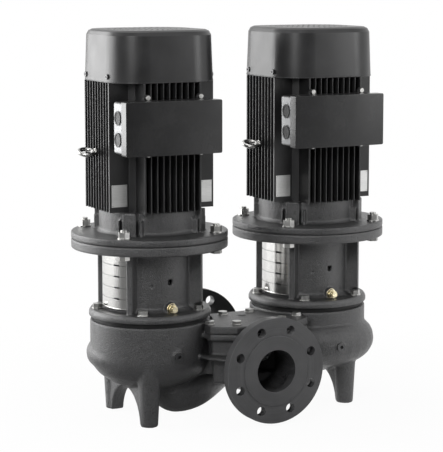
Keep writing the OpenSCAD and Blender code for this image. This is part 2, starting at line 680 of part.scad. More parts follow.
// Fan cover: a rounded square hood with a pierced top
module hood_level(z, half, corner) translate([0, 0, z]) linear_extrude(0.2)
    polygon(rounded(2 * half, 2 * half, corner, 8));
module hood_body(less, top) hull() {
    hood_level(hood_low - (less > 0 ? grow : 0), hood_half - less, hood_corner - less);
    hood_level(top - 10, hood_half - 3 - less, hood_corner - 2 - less);
    hood_level(top - 3, hood_half - 6.5 - less, hood_corner - 4 - less);
    hood_level(top - 0.2, hood_half - 12 - less, hood_corner - 8 - less);
}
module fan_cover() color(motor_black) difference() {
    hood_body(0, motor_top);
    hood_body(hood_t, motor_top - hood_t);
    for (ring = [0:5]) for (i = [0:11 + 6 * ring]) rotate([0, 0, i * 360 / (12 + 6 * ring)])
        translate([20 + 11 * ring, 0, motor_top - 10]) cylinder(r = 2.4, h = 20, $fn = 16);
    at_hood_screws() translate([0, 0, -5]) cylinder(r = 3, h = 12, $fn = 24);
}
module fan_cover_screws() color([0.2, 0.2, 0.2]) for (p = [-1, 1])
    at_pump(p) at_hood_screws() translate([0, 0, -1.6]) difference() {
        union() {
            cylinder(r = 5, h = 2.3, $fn = 32);
            cylinder(r = 2.9, h = 12, $fn = 24);
        }
        translate([0, 0, -grow]) hex(4, 2.4);
    }

// Terminal box and its lid, in front of the motor
module box_outline(w, h, r) polygon(rounded(w, h, r, 5));
module terminal_box() color(motor_black) difference() {
    union() {
        translate([box_mid, -box_back, (box_low + box_top) / 2]) rotate([90, 0, 0])
            linear_extrude(lid_back - box_back) box_outline(box_w - 3, box_top - box_low - 3, 5);
        for (x = [-ear_x, ear_x], e = [-1, 1]) translate([x, -box_back, (box_low + box_top) / 2 + e * 49])
            rotate([90, 0, 0]) cylinder(r = 8, h = 6);
    }
    translate([box_mid, -box_back - 4, (box_low + box_top) / 2]) rotate([90, 0, 0])
        linear_extrude(80) box_outline(box_w - 3 - 2 * box_wall, box_top - box_low - 3 - 2 * box_wall, 3);
    translate([0, 0, (box_low + box_top) / 2]) rotate([90, 0, 0]) cylinder(r = 14, h = 140);
    at_blanking() translate([0, 0, -10]) cylinder(r = 10, h = 40);
    at_ears() translate([0, 0, -grow]) cylinder(r = 2.6, h = 10, $fn = 24);
}
module at_blanking() for (z = [543, 582]) translate([box_left + 1.5, -(box_back + lid_back) / 2 - 1, z])
    rotate([0, -90, 0]) children();
module at_ears() for (x = [-ear_x, ear_x], e = [-1, 1])
    translate([x, -box_back, (box_low + box_top) / 2 + e * 51.5]) rotate([90, 0, 0]) children();
module terminal_lid() color(motor_black) difference() {
    intersection() {
        translate([box_mid, -lid_back, (box_low + box_top) / 2]) rotate([90, 0, 0])
            linear_extrude(40) box_outline(box_w, box_top - box_low, 3);
        translate([box_mid, bulge_r - lid_front, box_low - grow]) cylinder(r = bulge_r, h = 120, $fn = 256);
    }
    intersection() {
        translate([box_mid, -lid_back + grow, (box_low + box_top) / 2]) rotate([90, 0, 0])
            linear_extrude(lid_front - lid_back - 3) box_outline(box_w - 8, box_top - box_low - 8, 4);
        translate([box_mid, bulge_r - lid_front, box_low - grow]) cylinder(r = bulge_r - 4, h = 120, $fn = 256);
    }
}
module terminal_screws() color(zinc) for (p = [-1, 1]) at_pump(p) at_ears() {
    translate([0, 0, 6]) cylinder(r = 4.3, h = 3.2, $fn = 32);
    translate([0, 0, 0.3]) cylinder(r = 2.5, h = 6, $fn = 24);
}
module terminal_boards() for (p = [-1, 1]) at_pump(p) {
    color([0.75, 0.7, 0.6]) translate([-40, -box_back - 16, 530]) cube([80, 12, 66]);
    color(brass) for (x = [-26, 0, 26], z = [548, 578]) translate([x, -box_back - 16, z])
        rotate([90, 0, 0]) cylinder(r = 3, h = 14, $fn = 24);
}
module blanking_plugs() color([0.3, 0.3, 0.3]) for (p = [-1, 1]) at_pump(p) at_blanking() difference() {
    union() {
        translate([0, 0, -8]) cylinder(r = 9.95, h = 9);
        cylinder(r = 13, h = 2.5);
    }
    translate([0, 0, 1.5]) cylinder(r = 10.5, h = 4);
}

module eye_bolts() color(zinc) for (p = [-1, 1], side = [-1, 1]) at_pump(p)
    translate([side * frame_r, 0, eye_z]) rotate([0, side * 90, 0]) {
        translate([0, 0, -8]) cylinder(r = 4, h = 30, $fn = 32);
        translate([0, 0, 16]) cylinder(r1 = 4, r2 = 7, h = 6, $fn = 32);
        translate([0, 0, 38.5]) rotate([0, 0, 90 + side * 18]) rotate([90, 0, 0])
            rotate_extrude($fn = 64) translate([14, 0]) circle(r = 4, $fn = 24);
    }

module nameplates() color(steel) for (p = [-1, 1]) at_pump(p) {
    wall_y = -(fins_n - 1) / 2 * fin_pitch - fin_t / 2;
    translate([-102, wall_y - 0.8, 412]) cube([31, 0.8, 41]);
    translate([80, wall_y - 0.8, 412]) cube([22, 0.8, 41]);
}

// Rotating pieces
module impeller() color([0.55, 0.5, 0.42]) difference() {
    union() {
        rotate_extrude($fn = 96) polygon([[38, 86], [eye_neck_r, 86], [eye_neck_r, shroud_z - 2],
            [imp_r, shroud_z + 6], [imp_r, shroud_z + 10], [38, shroud_z + 2]]);
        rotate_extrude($fn = 96) polygon([[0, 108], [16, 108], [22, back_z], [imp_r, back_z],
            [imp_r, back_z + 5], [16, back_z + 5], [16, back_z + 11], [0, back_z + 11]]);
        for (i = [0:5]) rotate([0, 0, 60 * i]) vane();
    }
    translate([0, 0, 100]) cylinder(r = shaft_r, h = 60);
}
module vane() translate([0, 0, shroud_z + 5]) linear_extrude(back_z - shroud_z - 4) intersection() {
    difference() {
        circle(r = imp_r, $fn = 96);
        circle(r = 30, $fn = 64);
    }
    translate([0, -vane_r + 8]) difference() {
        circle(r = vane_r, $fn = 96);
        circle(r = vane_r - 4, $fn = 96);
        translate([-100, -200]) square([200, 200]);
        translate([-100, -100]) square([100, 200]);
    }
}
module impeller_nut() color(steel) translate([0, 0, 98]) difference() {
    hex(22, 10);
    translate([0, 0, -grow]) cylinder(r = shaft_r - 2, h = 20, $fn = 48);
}
module pump_shaft() color(steel) {
    translate([0, 0, 96]) cylinder(r = shaft_r - 2, h = 14);
    translate([0, 0, 108]) cylinder(r = shaft_r, h = 152);
}
module seal_head() color([0.6, 0.6, 0.62]) difference() {
    rotate_extrude($fn = 64) polygon([[shaft_r, 152], [20, 152], [20, 158], [17, 160], [20, 163], [17, 166],
        [20, 169], [17, 172], [20, 175], [17, 178], [20, 181], [20, 184], [22, 184], [22, seal_low - 0.4],
        [shaft_r, seal_low - 0.4]]);
}
module motor_shaft() color(steel) rotate_extrude($fn = 96) polygon([[0, 264], [motor_shaft_r, 264],
    [motor_shaft_r, 352], [journal_r, 352], [journal_r, 400], [core_shaft_r, 400], [core_shaft_r, 612],
    [journal_r, 612], [journal_r, 648], [shaft_r, 648], [shaft_r, 690], [0, 690]]);
module rotor_core() color([0.5, 0.5, 0.52]) translate([0, 0, 440]) difference() {
    cylinder(r = rotor_r, h = 150, $fn = 128);
    translate([0, 0, -grow]) cylinder(r = core_shaft_r, h = 200, $fn = 96);
}
module fan() color([0.15, 0.15, 0.16]) difference() {
    union() {
        translate([0, 0, 656]) cylinder(r = 20, h = 30);
        translate([0, 0, 656]) cylinder(r = 86, h = 3, $fn = 96);
        for (i = [0:7]) rotate([0, 0, 45 * i]) translate([18, -1.5, 658]) cube([66, 3, 34]);
    }
    translate([0, 0, 650]) cylinder(r = shaft_r, h = 60);
}
module coupling() color([0.4, 0.41, 0.43]) difference() {
    translate([0, 0, coupling_low]) cylinder(r = 31, h = coupling_h);
    translate([-50, -1, coupling_low - grow]) cube([100, 2, coupling_h + 2 * grow]);
    translate([0, 0, coupling_low - grow]) cylinder(r = shaft_r, h = 40);
    translate([0, 0, 262]) cylinder(r = motor_shaft_r, h = 60);
    at_coupling_screws() {
        translate([0, 0, -40]) cylinder(r = 3, h = 80, $fn = 24);
        translate([0, 0, 9]) cylinder(r = 5.5, h = 30, $fn = 32);
    }
}
module at_coupling_screws() for (x = [-21.5, 21.5], z = [12, coupling_h - 12])
    translate([x, 0, coupling_low + z]) rotate([90, 0, 0]) children();
module coupling_screws() color(zinc) at_coupling_screws() difference() {
    union() {
        translate([0, 0, -14]) cylinder(r = 3, h = 24, $fn = 24);
        translate([0, 0, 9]) cylinder(r = 5, h = 6, $fn = 32);
    }
    translate([0, 0, 12]) hex(5, 4);
}

pump_housing();
valve_cover();
valve_cover_bolts();
flap_pin();
flap();
housing_plugs();
wear_rings();
seal_seats();
head_o_rings();
vent_bodies();
head_bolts();
flange_bolts();
flange_nuts();
nameplates();
fan_cover_screws();
terminal_boards();
terminal_screws();
eye_bolts();
blanking_plugs();
bearings();
at_pump(-1) head_cover();  // left_head_cover
at_pump(1) head_cover();  // right_head_cover
at_pump(-1) motor_stool();  // left_motor_stool
at_pump(1) motor_stool();  // right_motor_stool
at_pump(-1) coupling_guards();  // left_coupling_guards
at_pump(1) coupling_guards();  // right_coupling_guards
at_pump(-1) end_shield();  // left_end_shield
at_pump(1) end_shield();  // right_end_shield
at_pump(-1) stator_frame();  // left_stator_frame
at_pump(1) stator_frame();  // right_stator_frame
at_pump(-1) stator();  // left_stator
at_pump(1) stator();  // right_stator
at_pump(-1) upper_shield();  // left_upper_shield
at_pump(1) upper_shield();  // right_upper_shield
at_pump(-1) fan_cover();  // left_fan_cover
at_pump(1) fan_cover();  // right_fan_cover
at_pump(-1) terminal_box();  // left_terminal_box
at_pump(1) terminal_box();  // right_terminal_box
at_pump(-1) terminal_lid();  // left_terminal_lid
at_pump(1) terminal_lid();  // right_terminal_lid
at_pump(-1) motor_shaft();  // left_motor_shaft
at_pump(1) motor_shaft();  // right_motor_shaft
at_pump(-1) rotor_core();  // left_rotor_core
at_pump(1) rotor_core();  // right_rotor_core
at_pump(-1) fan();  // left_fan
at_pump(1) fan();  // right_fan
at_pump(-1) coupling();  // left_coupling
at_pump(1) coupling();  // right_coupling
at_pump(-1) coupling_screws();  // left_coupling_screws
at_pump(1) coupling_screws();  // right_coupling_screws
at_pump(-1) pump_shaft();  // left_pump_shaft
at_pump(1) pump_shaft();  // right_pump_shaft
at_pump(-1) impeller();  // left_impeller
at_pump(1) impeller();  // right_impeller
at_pump(-1) impeller_nut();  // left_impeller_nut
at_pump(1) impeller_nut();  // right_impeller_nut
at_pump(-1) seal_head();  // left_seal_head
at_pump(1) seal_head();  // right_seal_head
at_pump(-1) vent_screw();  // left_vent_screw
at_pump(1) vent_screw();  // right_vent_screw
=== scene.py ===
"""Studio scene of a twin in-line pump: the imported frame, its finishes, its cast skins and its small parts."""
import logging
import math
from dataclasses import dataclass, field
from enum import Enum
from typing import Callable, Optional, Sequence, Union

import bmesh
import bpy
from mathutils import Euler, Matrix, Quaternion, Vector


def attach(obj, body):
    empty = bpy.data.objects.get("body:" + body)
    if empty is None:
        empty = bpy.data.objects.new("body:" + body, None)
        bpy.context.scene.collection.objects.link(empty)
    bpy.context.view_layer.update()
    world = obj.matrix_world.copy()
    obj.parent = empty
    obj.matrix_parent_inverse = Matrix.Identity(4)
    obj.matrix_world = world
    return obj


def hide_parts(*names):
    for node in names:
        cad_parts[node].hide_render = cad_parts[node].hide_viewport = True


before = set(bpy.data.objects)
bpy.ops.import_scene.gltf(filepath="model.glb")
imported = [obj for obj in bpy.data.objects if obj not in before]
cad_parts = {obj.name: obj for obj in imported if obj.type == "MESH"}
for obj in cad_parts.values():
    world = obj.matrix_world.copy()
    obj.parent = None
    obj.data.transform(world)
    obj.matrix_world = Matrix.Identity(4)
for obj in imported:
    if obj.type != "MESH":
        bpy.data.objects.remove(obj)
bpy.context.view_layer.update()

LOG = logging.getLogger("twin_pump")
ROOT = "pump_set"
AXIS_X, AXIS_Y, PORT_Z = 0.171, 0.010, 0.105

Colour = tuple[float, float, float]
WHITE: Colour = (1.0, 1.0, 1.0)
DUST_COLOUR: Colour = (0.42, 0.41, 0.39)
DUST_DULLNESS = 0.8
SEAM_REACH = 0.0025
ARC_STEPS = 16
UP = Vector((0, 0, 1))
Socket = bpy.types.NodeSocket
Value = Union[float, Sequence[float], Socket]


class Side(Enum):
    """The two pumps, each with the sign of its X."""

    LEFT = -1
    RIGHT = 1

    @property
    def prefix(self) -> str:
        """Start of this pump's node names."""
        return "left_" if self is Side.LEFT else "right_"

    @property
    def centre(self) -> Vector:
        """Point of the pump's axis on the floor."""
        return Vector((self.value * AXIS_X, AXIS_Y, 0.0))


class Bench:
    """Adds and joins nodes in one node tree."""

    def __init__(self, tree: bpy.types.NodeTree) -> None:
        """Keeps the tree that the nodes go into."""
        self.tree = tree

    def feed(self, socket: Socket, value: Value) -> None:
        """Links a socket to another one, or sets its own value.

        Args:
            socket: the input to feed.
            value: an output socket, a number or a vector.
        """
        if isinstance(value, bpy.types.NodeSocket):
            self.tree.links.new(value, socket)
        elif socket.type == "RGBA" and len(value) == 3:
            socket.default_value = (*value, 1.0)
        else:
            socket.default_value = value

    def add(self, kind: str, inputs: Optional[dict[Union[str, int], Value]] = None,
            **settings: object) -> bpy.types.Node:
        """Adds a node.

        Args:
            kind: the node's type name.
            inputs: what each named or numbered input gets.
            settings: the node's own properties.

        Returns:
            The new node.
        """
        node = self.tree.nodes.new(kind)
        for key, value in settings.items():
            setattr(node, key, value)
        for key, value in (inputs or {}).items():
            self.feed(node.inputs[key], value)
        return node

    def math(self, operation: str, a: Value, b: Value = 0.0, clamp: bool = False) -> Socket:
        """Returns the result of a Math node on a and b."""
        return self.add("ShaderNodeMath", {0: a, 1: b}, operation=operation, use_clamp=clamp).outputs[0]

    def mix(self, share: Value, a: Value, b: Value) -> Socket:
        """Returns colour a mixed with colour b by a share."""
        node = self.add("ShaderNodeMix", {0: share, 6: a, 7: b}, data_type="RGBA", clamp_factor=True)
        return node.outputs[2]

    def blend(self, share: float, a: Value, b: Value) -> Socket:
        """Returns the sum of a times a share and b times the rest."""
        return self.math("ADD", self.math("MULTIPLY", a, share), self.math("MULTIPLY", b, 1.0 - share))

    def noise(self, vector: Socket, scale: Value, detail: float = 2.0, roughness: float = 0.5) -> Socket:
        """Returns the value of a noise texture."""
        return self.add("ShaderNodeTexNoise", {"Vector": vector, "Scale": scale, "Detail": detail,
                                               "Roughness": roughness}).outputs[0]

    def span(self, value: Value, low: float, high: float,
             to_low: float = 0.0, to_high: float = 1.0) -> Socket:
        """Returns a value carried from one range to another, held at its ends."""
        node = self.add("ShaderNodeMapRange", {"Value": value, "From Min": low, "From Max": high,
                                               "To Min": to_low, "To Max": to_high}, clamp=True)
        return node.outputs[0]


class ShaderGroups:
    """The shader node groups that several finishes share, each built once."""

    _made: dict[str, bpy.types.NodeTree] = {}

    @classmethod
    def get(cls, name: str) -> bpy.types.NodeTree:
        """Returns the named group, and builds it the first time."""
        if name not in cls._made:
            cls._made[name] = getattr(cls, name)()
        return cls._made[name]

    @staticmethod
    def _start(name: str, inputs: Sequence[tuple[str, str, float]],
               outputs: Sequence[tuple[str, str]]) -> tuple[Bench, bpy.types.Node, bpy.types.Node]:
        """Opens a group.

        Args:
            name: the group's name.
            inputs: name, socket kind and default of each input.
            outputs: name and socket kind of each output.

        Returns:
            The bench, the group's input node and its output node.
        """
        tree = bpy.data.node_groups.new(name, "ShaderNodeTree")
        for label, kind, default in inputs:
            socket = tree.interface.new_socket(label, in_out="INPUT", socket_type="NodeSocket" + kind)
            if kind == "Float":
                socket.default_value = default
        for label, kind in outputs:
            tree.interface.new_socket(label, in_out="OUTPUT", socket_type="NodeSocket" + kind)
        bench = Bench(tree)
        return bench, bench.add("NodeGroupInput"), bench.add("NodeGroupOutput")

    @classmethod
    def _open(cls, name: str, grit: float) -> tuple[Bench, Socket, Socket, bpy.types.Node]:
        """Opens a pattern's group.

        Args:
            name: the group's name.
            grit: the default number of cells per metre.

        Returns:
            The bench, the sockets of the coordinates and of the grit, and the group's output node.
        """
        bench, start, end = cls._start(name, [("Vector", "Vector", 0), ("Grit", "Float", grit)],
                                       [("Height", "Float"), ("Tone", "Float")])
        return bench, start.outputs["Vector"], start.outputs["Grit"], end

    @staticmethod
    def _close(bench: Bench, end: bpy.types.Node, height: Socket, tone: Socket,
               low: float, high: float) -> bpy.types.NodeTree:
        """Ends a pattern's group.

        Args:
            bench: the group's bench.
            end: the group's output node.
            height: the pattern's height.
            tone: the pattern's tone.
            low: the tone that becomes 0.
            high: the tone that becomes 1.

        Returns:
            The group.
        """
        bench.feed(end.inputs["Height"], height)
        bench.feed(end.inputs["Tone"], bench.span(tone, low, high))
        return bench.tree

    @classmethod
    def soft_edge(cls) -> bpy.types.NodeTree:
        """Rounds sharp edges in the shading and marks them for a painted edge highlight."""
        bench, start, end = cls._start("Soft edge", [("Radius", "Float", 0.001)],
                                       [("Normal", "Vector"), ("Edge", "Float")])
        bevel = bench.add("ShaderNodeBevel", {"Radius": start.outputs["Radius"]}, samples=6)
        true = bench.add("ShaderNodeNewGeometry").outputs["Normal"]
        dot = bench.add("ShaderNodeVectorMath", {0: bevel.outputs[0], 1: true}, operation="DOT_PRODUCT")
        bench.feed(end.inputs["Normal"], bevel.outputs[0])
        bench.feed(end.inputs["Edge"], bench.span(dot.outputs["Value"], 0.985, 0.8))
        return bench.tree

    @classmethod
    def cast_grain(cls) -> bpy.types.NodeTree:
        """Sand-cast skin under a sprayed coat: fine grit, soft lumps and shallow pits."""
        bench, vector, grit, end = cls._open("Cast grain", 700.0)
        fine = bench.noise(vector, grit, 3.0, 0.65)
        lumps = bench.noise(vector, bench.math("MULTIPLY", grit, 0.16))
        cloud = bench.noise(vector, 14.0, 4.0, 0.6)
        wide = bench.math("MULTIPLY", grit, 0.3)
        cells = bench.add("ShaderNodeTexVoronoi", {"Vector": vector, "Scale": wide})
        pits = bench.span(cells.outputs["Distance"], 0.0, 0.28)
        height = bench.math("ADD", bench.math("MULTIPLY", fine, 0.55), bench.math("MULTIPLY", lumps, 0.3))
        height = bench.math("ADD", height, bench.math("MULTIPLY", pits, 0.25))
        return cls._close(bench, end, height, bench.blend(0.82, fine, cloud), 0.34, 0.66)

    @classmethod
    def spray_peel(cls) -> bpy.types.NodeTree:
        """Orange peel of a sprayed coat with a few specks in it."""
        bench, vector, grit, end = cls._open("Spray peel", 420.0)
        peel = bench.add("ShaderNodeTexVoronoi", {"Vector": vector, "Scale": grit}, feature="SMOOTH_F1")
        speck = bench.noise(vector, bench.math("MULTIPLY", grit, 4.0), 1.0)
        cloud = bench.noise(vector, 22.0, 5.0)
        height = bench.math("ADD", peel.outputs["Distance"], bench.math("MULTIPLY", speck, 0.35))
        return cls._close(bench, end, height, bench.blend(0.7, cloud, speck), 0.36, 0.64)

    @classmethod
    def brushed(cls) -> bpy.types.NodeTree:
        """Fine parallel lines along the direction in which the coordinates were squeezed."""
        bench, vector, grit, end = cls._open("Brushed", 900.0)
        lines = bench.noise(vector, grit, 4.0, 0.7)
        cloud = bench.noise(vector, 60.0)
        return cls._close(bench, end, lines, bench.blend(0.6, lines, cloud), 0.34, 0.66)

    @classmethod
    def turned(cls) -> bpy.types.NodeTree:
        """Rings that a lathe tool leaves round the Z axis of the coordinates."""
        bench, vector, grit, end = cls._open("Turned", 900.0)
        apart = bench.add("ShaderNodeSeparateXYZ", {0: vector})
        flat = bench.add("ShaderNodeCombineXYZ", {0: apart.outputs[0], 1: apart.outputs[1]}).outputs[0]
        radius = bench.add("ShaderNodeVectorMath", {0: flat}, operation="LENGTH").outputs["Value"]
        stack = bench.add("ShaderNodeCombineXYZ", {0: radius, 1: apart.outputs[2]}).outputs[0]
        rings = bench.add("ShaderNodeTexNoise", {"Vector": stack, "Scale": grit, "Detail": 3.0,
                                                 "Roughness": 0.75}, noise_dimensions="2D").outputs[0]
        cloud = bench.noise(vector, 30.0, 4.0)
        return cls._close(bench, end, rings, bench.blend(0.55, rings, cloud), 0.34, 0.66)

    @classmethod
    def wound(cls) -> bpy.types.NodeTree:
        """Turns of varnished wire that lie side by side round an axis."""
        bench, vector, grit, end = cls._open("Wound", 500.0)
        bands = {"Vector": vector, "Scale": grit, "Distortion": 3.0, "Detail": 1.0, "Detail Scale": 0.4}
        wave = bench.add("ShaderNodeTexWave", bands, bands_direction="Z").outputs[1]
        cloud = bench.noise(vector, 90.0)
        return cls._close(bench, end, wave, bench.blend(0.4, wave, cloud), 0.2, 0.8)

    @classmethod
    def dust(cls) -> bpy.types.NodeTree:
        """Thin dust that settles in patches on what faces up."""
        bench, start, end = cls._start("Settled dust", [("Vector", "Vector", 0)], [("Mask", "Float")])
        normal = bench.add("ShaderNodeNewGeometry").outputs["Normal"]
        up = bench.add("ShaderNodeSeparateXYZ", {0: normal}).outputs[2]
        patch = bench.noise(start.outputs["Vector"], 55.0, 6.0, 0.7)
        mask = bench.math("MULTIPLY", bench.span(up, 0.55, 1.0), bench.span(patch, 0.35, 0.75))
        bench.feed(end.inputs["Mask"], mask)
        return bench.tree


class Pattern(Enum):
    """Surface patterns, each named after its node group."""

    CAST = "cast_grain"
    SPRAY = "spray_peel"
    BRUSHED = "brushed"
    TURNED = "turned"
    WOUND = "wound"


@dataclass(frozen=True)
class Finish:
    """One finish: colour, gloss, pattern, rounded edges with a painted highlight along them, and a little dust.

    Scales are in pattern cells per metre, depths and radii in metres.
    """

    name: str
    colour: Colour
    tint: Colour
    roughness: float
    spread: float = 0.12
    metallic: float = 0.0
    pattern: Pattern = Pattern.SPRAY
    grit: float = 420.0
    depth: float = 0.00004
    stretch: tuple[float, float, float] = (1.0, 1.0, 1.0)
    centre: tuple[float, float, float] = (0.0, 0.0, 0.0)
    turn: tuple[float, float, float] = (0.0, 0.0, 0.0)
    edge: float = 0.0008
    # The edge colour and its share paint a paler line along sharp edges: a painted highlight where light would
    # catch them.
    edge_highlight_colour: Optional[Colour] = None
    edge_highlight_share: float = 0.5
    dust: float = 0.0
    level: float = 0.5

    def make(self) -> bpy.types.Material:
        """Builds the material.

        Returns:
            A node material with a Principled shader.
        """
        material = bpy.data.materials.new(self.name)
        material.use_nodes = True
        tree = material.node_tree
        tree.nodes.clear()
        bench = Bench(tree)
        place = bench.add("ShaderNodeTexCoord").outputs["Object"]
        mapped = bench.add("ShaderNodeMapping", {"Vector": place, "Location": self._shift(),
                                                 "Rotation": self.turn, "Scale": self.stretch}).outputs[0]
        soft = bench.add("ShaderNodeGroup", node_tree=ShaderGroups.get("soft_edge"))
        soft.inputs["Radius"].default_value = self.edge
        skin = bench.add("ShaderNodeGroup", node_tree=ShaderGroups.get(self.pattern.value))
        bench.feed(skin.inputs["Vector"], mapped)
        skin.inputs["Grit"].default_value = self.grit
        tone = skin.outputs["Tone"]
        colour = bench.mix(tone, self.colour, self.tint)
        # Painted highlight: the edge colour is mixed in along sharp edges.
        if self.edge_highlight_colour is not None:
            painted_edge_highlight = bench.math("MULTIPLY", soft.outputs["Edge"], self.edge_highlight_share)
            colour = bench.mix(painted_edge_highlight, colour, self.edge_highlight_colour)
        rough = bench.math("ADD", self.roughness - self.spread / 2, bench.math("MULTIPLY", tone, self.spread))
        if self.dust > 0.0:
            fallen = bench.add("ShaderNodeGroup", {"Vector": place}, node_tree=ShaderGroups.get("dust"))
            share = bench.math("MULTIPLY", fallen.outputs["Mask"], self.dust)
            colour = bench.mix(share, colour, DUST_COLOUR)
            rough = bench.math("ADD", rough, bench.math("MULTIPLY", share, DUST_DULLNESS), True)
        colour, rough = self.zones(bench, place, colour, rough)
        bump = bench.add("ShaderNodeBump", {
            "Strength": 1.0, "Distance": self.depth, "Height": skin.outputs["Height"],
            "Normal": soft.outputs["Normal"]})
        shader = bench.add("ShaderNodeBsdfPrincipled", {
            "Base Color": colour, "Roughness": rough, "Metallic": self.metallic, "Normal": bump.outputs[0],
            "Specular IOR Level": self.level})
        bench.add("ShaderNodeOutputMaterial", {"Surface": shader.outputs[0]})
        return material

    def _shift(self) -> tuple[float, float, float]:
        """Location for the Mapping node that brings the centre to the origin before it is turned."""
        moved = Matrix.LocRotScale(None, _euler(self.turn), Vector(self.stretch)) @ Vector(self.centre)
        return (-moved.x, -moved.y, -moved.z)

    def zones(self, bench: Bench, place: Socket, colour: Socket, rough: Socket) -> tuple[Socket, Socket]:
        """Changes colour and roughness in zones of the surface. The plain finish changes nothing."""
        return colour, rough


def _euler(turn: Sequence[float]) -> Quaternion:
    """Returns a rotation from three angles in radians, as the Mapping node applies them."""
    return Euler(turn, "XYZ").to_quaternion()


@dataclass(frozen=True)
class CastFinish(Finish):
    """Sprayed casting with a darker foot."""

    foot_z: float = 0.03
    foot_colour: Colour = (0.02, 0.02, 0.021)

    def zones(self, bench: Bench, place: Socket, colour: Socket, rough: Socket) -> tuple[Socket, Socket]:
        """Darkens the lowest few centimetres."""
        height = bench.add("ShaderNodeSeparateXYZ", {0: place}).outputs[2]
        low = bench.span(height, self.foot_z, 0.0, 0.0, 0.35)
        return bench.mix(low, colour, self.foot_colour), rough


@dataclass(frozen=True)
class BoxEndFinish(Finish):
    """Coated terminal box whose left end faces are painted light grey, a painted reflection of the left light.
    """

    end_x: tuple[float, float] = (-0.2876, 0.0544)
    # Light grey of the painted reflection on the box's left end faces.
    painted_reflection: Colour = (0.36, 0.365, 0.375)

    def zones(self, bench: Bench, place: Socket, colour: Socket, rough: Socket) -> tuple[Socket, Socket]:
        """Paints the faces that look toward the left end light grey, a painted reflection of the left light,
        and roughens them a little.
        """
        normal = bench.add("ShaderNodeNewGeometry").outputs["Normal"]
        facing = bench.add("ShaderNodeSeparateXYZ", {0: normal}).outputs[0]
        across = bench.add("ShaderNodeSeparateXYZ", {0: place}).outputs[0]
        near = [bench.math("COMPARE", across, x) for x in self.end_x]
        for socket in near:
            socket.node.inputs[2].default_value = SEAM_REACH
        end = bench.math("MAXIMUM", near[0], near[1])
        # Painted reflection: the left-facing end faces are mixed toward a light grey.
        painted_reflection = bench.math("MULTIPLY", bench.span(facing, -0.9, -0.97), end)
        rougher = bench.math("ADD", rough, bench.math("MULTIPLY", painted_reflection, 0.05), True)
        return bench.mix(painted_reflection, colour, self.painted_reflection), rougher


# Colours of the painted highlight along sharp edges.
BLACK_EDGE: Colour = (0.16, 0.16, 0.165)
LID_EDGE: Colour = (0.12, 0.12, 0.12)
CAST = CastFinish("cast_iron_black_coat", (0.008, 0.008, 0.0085), (0.062, 0.062, 0.064), 0.36, 0.20,
                  pattern=Pattern.CAST, grit=520.0, depth=0.0022, edge=0.0022,
                  edge_highlight_colour=BLACK_EDGE, edge_highlight_share=0.30, dust=0.04, level=0.8)
FLANGE = Finish("port_flange_turned_coat", (0.052, 0.052, 0.054), (0.078, 0.078, 0.080), 0.40, 0.12,
                pattern=Pattern.TURNED, grit=700.0, depth=0.00008, centre=(0.0, 0.0, PORT_Z),
                turn=(math.pi / 2, 0.0, 0.0), edge=0.0007, edge_highlight_colour=(0.30, 0.30, 0.31), edge_highlight_share=0.55)
MOTOR = Finish("motor_black_spray", (0.011, 0.011, 0.0115), (0.021, 0.021, 0.0215), 0.34, 0.10, grit=380.0,
               edge=0.0007, edge_highlight_colour=(0.26, 0.26, 0.265), edge_highlight_share=0.75, dust=0.04)
HOOD = Finish("fan_cover_satin_black", (0.016, 0.016, 0.0165), (0.026, 0.026, 0.027), 0.34, 0.08, grit=520.0,
              depth=0.00002, edge=0.0012, edge_highlight_colour=(0.09, 0.09, 0.09), edge_highlight_share=0.3, dust=0.03)
LID = Finish("terminal_lid_gloss_black", (0.009, 0.009, 0.0095), (0.016, 0.016, 0.0165), 0.26, 0.07,
             grit=600.0, depth=0.00002, edge=0.0012, edge_highlight_colour=LID_EDGE, edge_highlight_share=0.35, dust=0.03)
BOX = BoxEndFinish("terminal_box_coat", (0.010, 0.010, 0.0105), (0.018, 0.018, 0.0185), 0.30, 0.08,
                   depth=0.00003, edge_highlight_colour=LID_EDGE, edge_highlight_share=0.35, dust=0.03)
SHIELD = CastFinish("end_shield_cast_coat", (0.008, 0.008, 0.0085), (0.052, 0.052, 0.054), 0.34, 0.18,
                    pattern=Pattern.CAST, grit=520.0, depth=0.0018, edge=0.0016,
                    edge_highlight_colour=(0.30, 0.30, 0.305), edge_highlight_share=0.45, dust=0.04, level=0.9, foot_z=0.0005)
STOOL = CastFinish("stool_cast_coat", (0.009, 0.009, 0.0095), (0.062, 0.062, 0.064), 0.36, 0.18,
                   pattern=Pattern.CAST, grit=520.0, depth=0.0018, edge=0.0014,
                   edge_highlight_colour=(0.26, 0.26, 0.265), edge_highlight_share=0.45, dust=0.04, level=0.9, foot_z=0.0005)
# Painted shade: the head cover is coloured darker and less glossy than the castings round it, so that the
# groove between stool and housing reads dark.
NECK = CastFinish("head_cover_painted_groove_shade", (0.006, 0.006, 0.0065), (0.014, 0.014, 0.0145), 0.50, 0.14,
                  pattern=Pattern.CAST, grit=430.0, depth=0.0006, edge=0.0006, edge_highlight_share=0.2, level=0.3)
ZINC = Finish("zinc_plated_steel", (0.44, 0.44, 0.43), (0.66, 0.655, 0.635), 0.34, 0.16, 1.0, Pattern.SPRAY,
              900.0, 0.00003, edge=0.0006, edge_highlight_colour=(0.92, 0.92, 0.9), dust=0.06)
STAINLESS = Finish("guard_polished_steel", (0.66, 0.655, 0.64), (0.78, 0.775, 0.76), 0.17, 0.08, 1.0,
                   Pattern.BRUSHED, 1500.0, 0.000006, (1.0, 1.0, 0.04), edge=0.0004)
STEEL = Finish("ground_shaft_steel", (0.50, 0.51, 0.52), (0.66, 0.67, 0.68), 0.26, 0.12, 1.0, Pattern.BRUSHED,
               1300.0, 0.00001, (0.06, 0.06, 1.0), edge=0.0004)
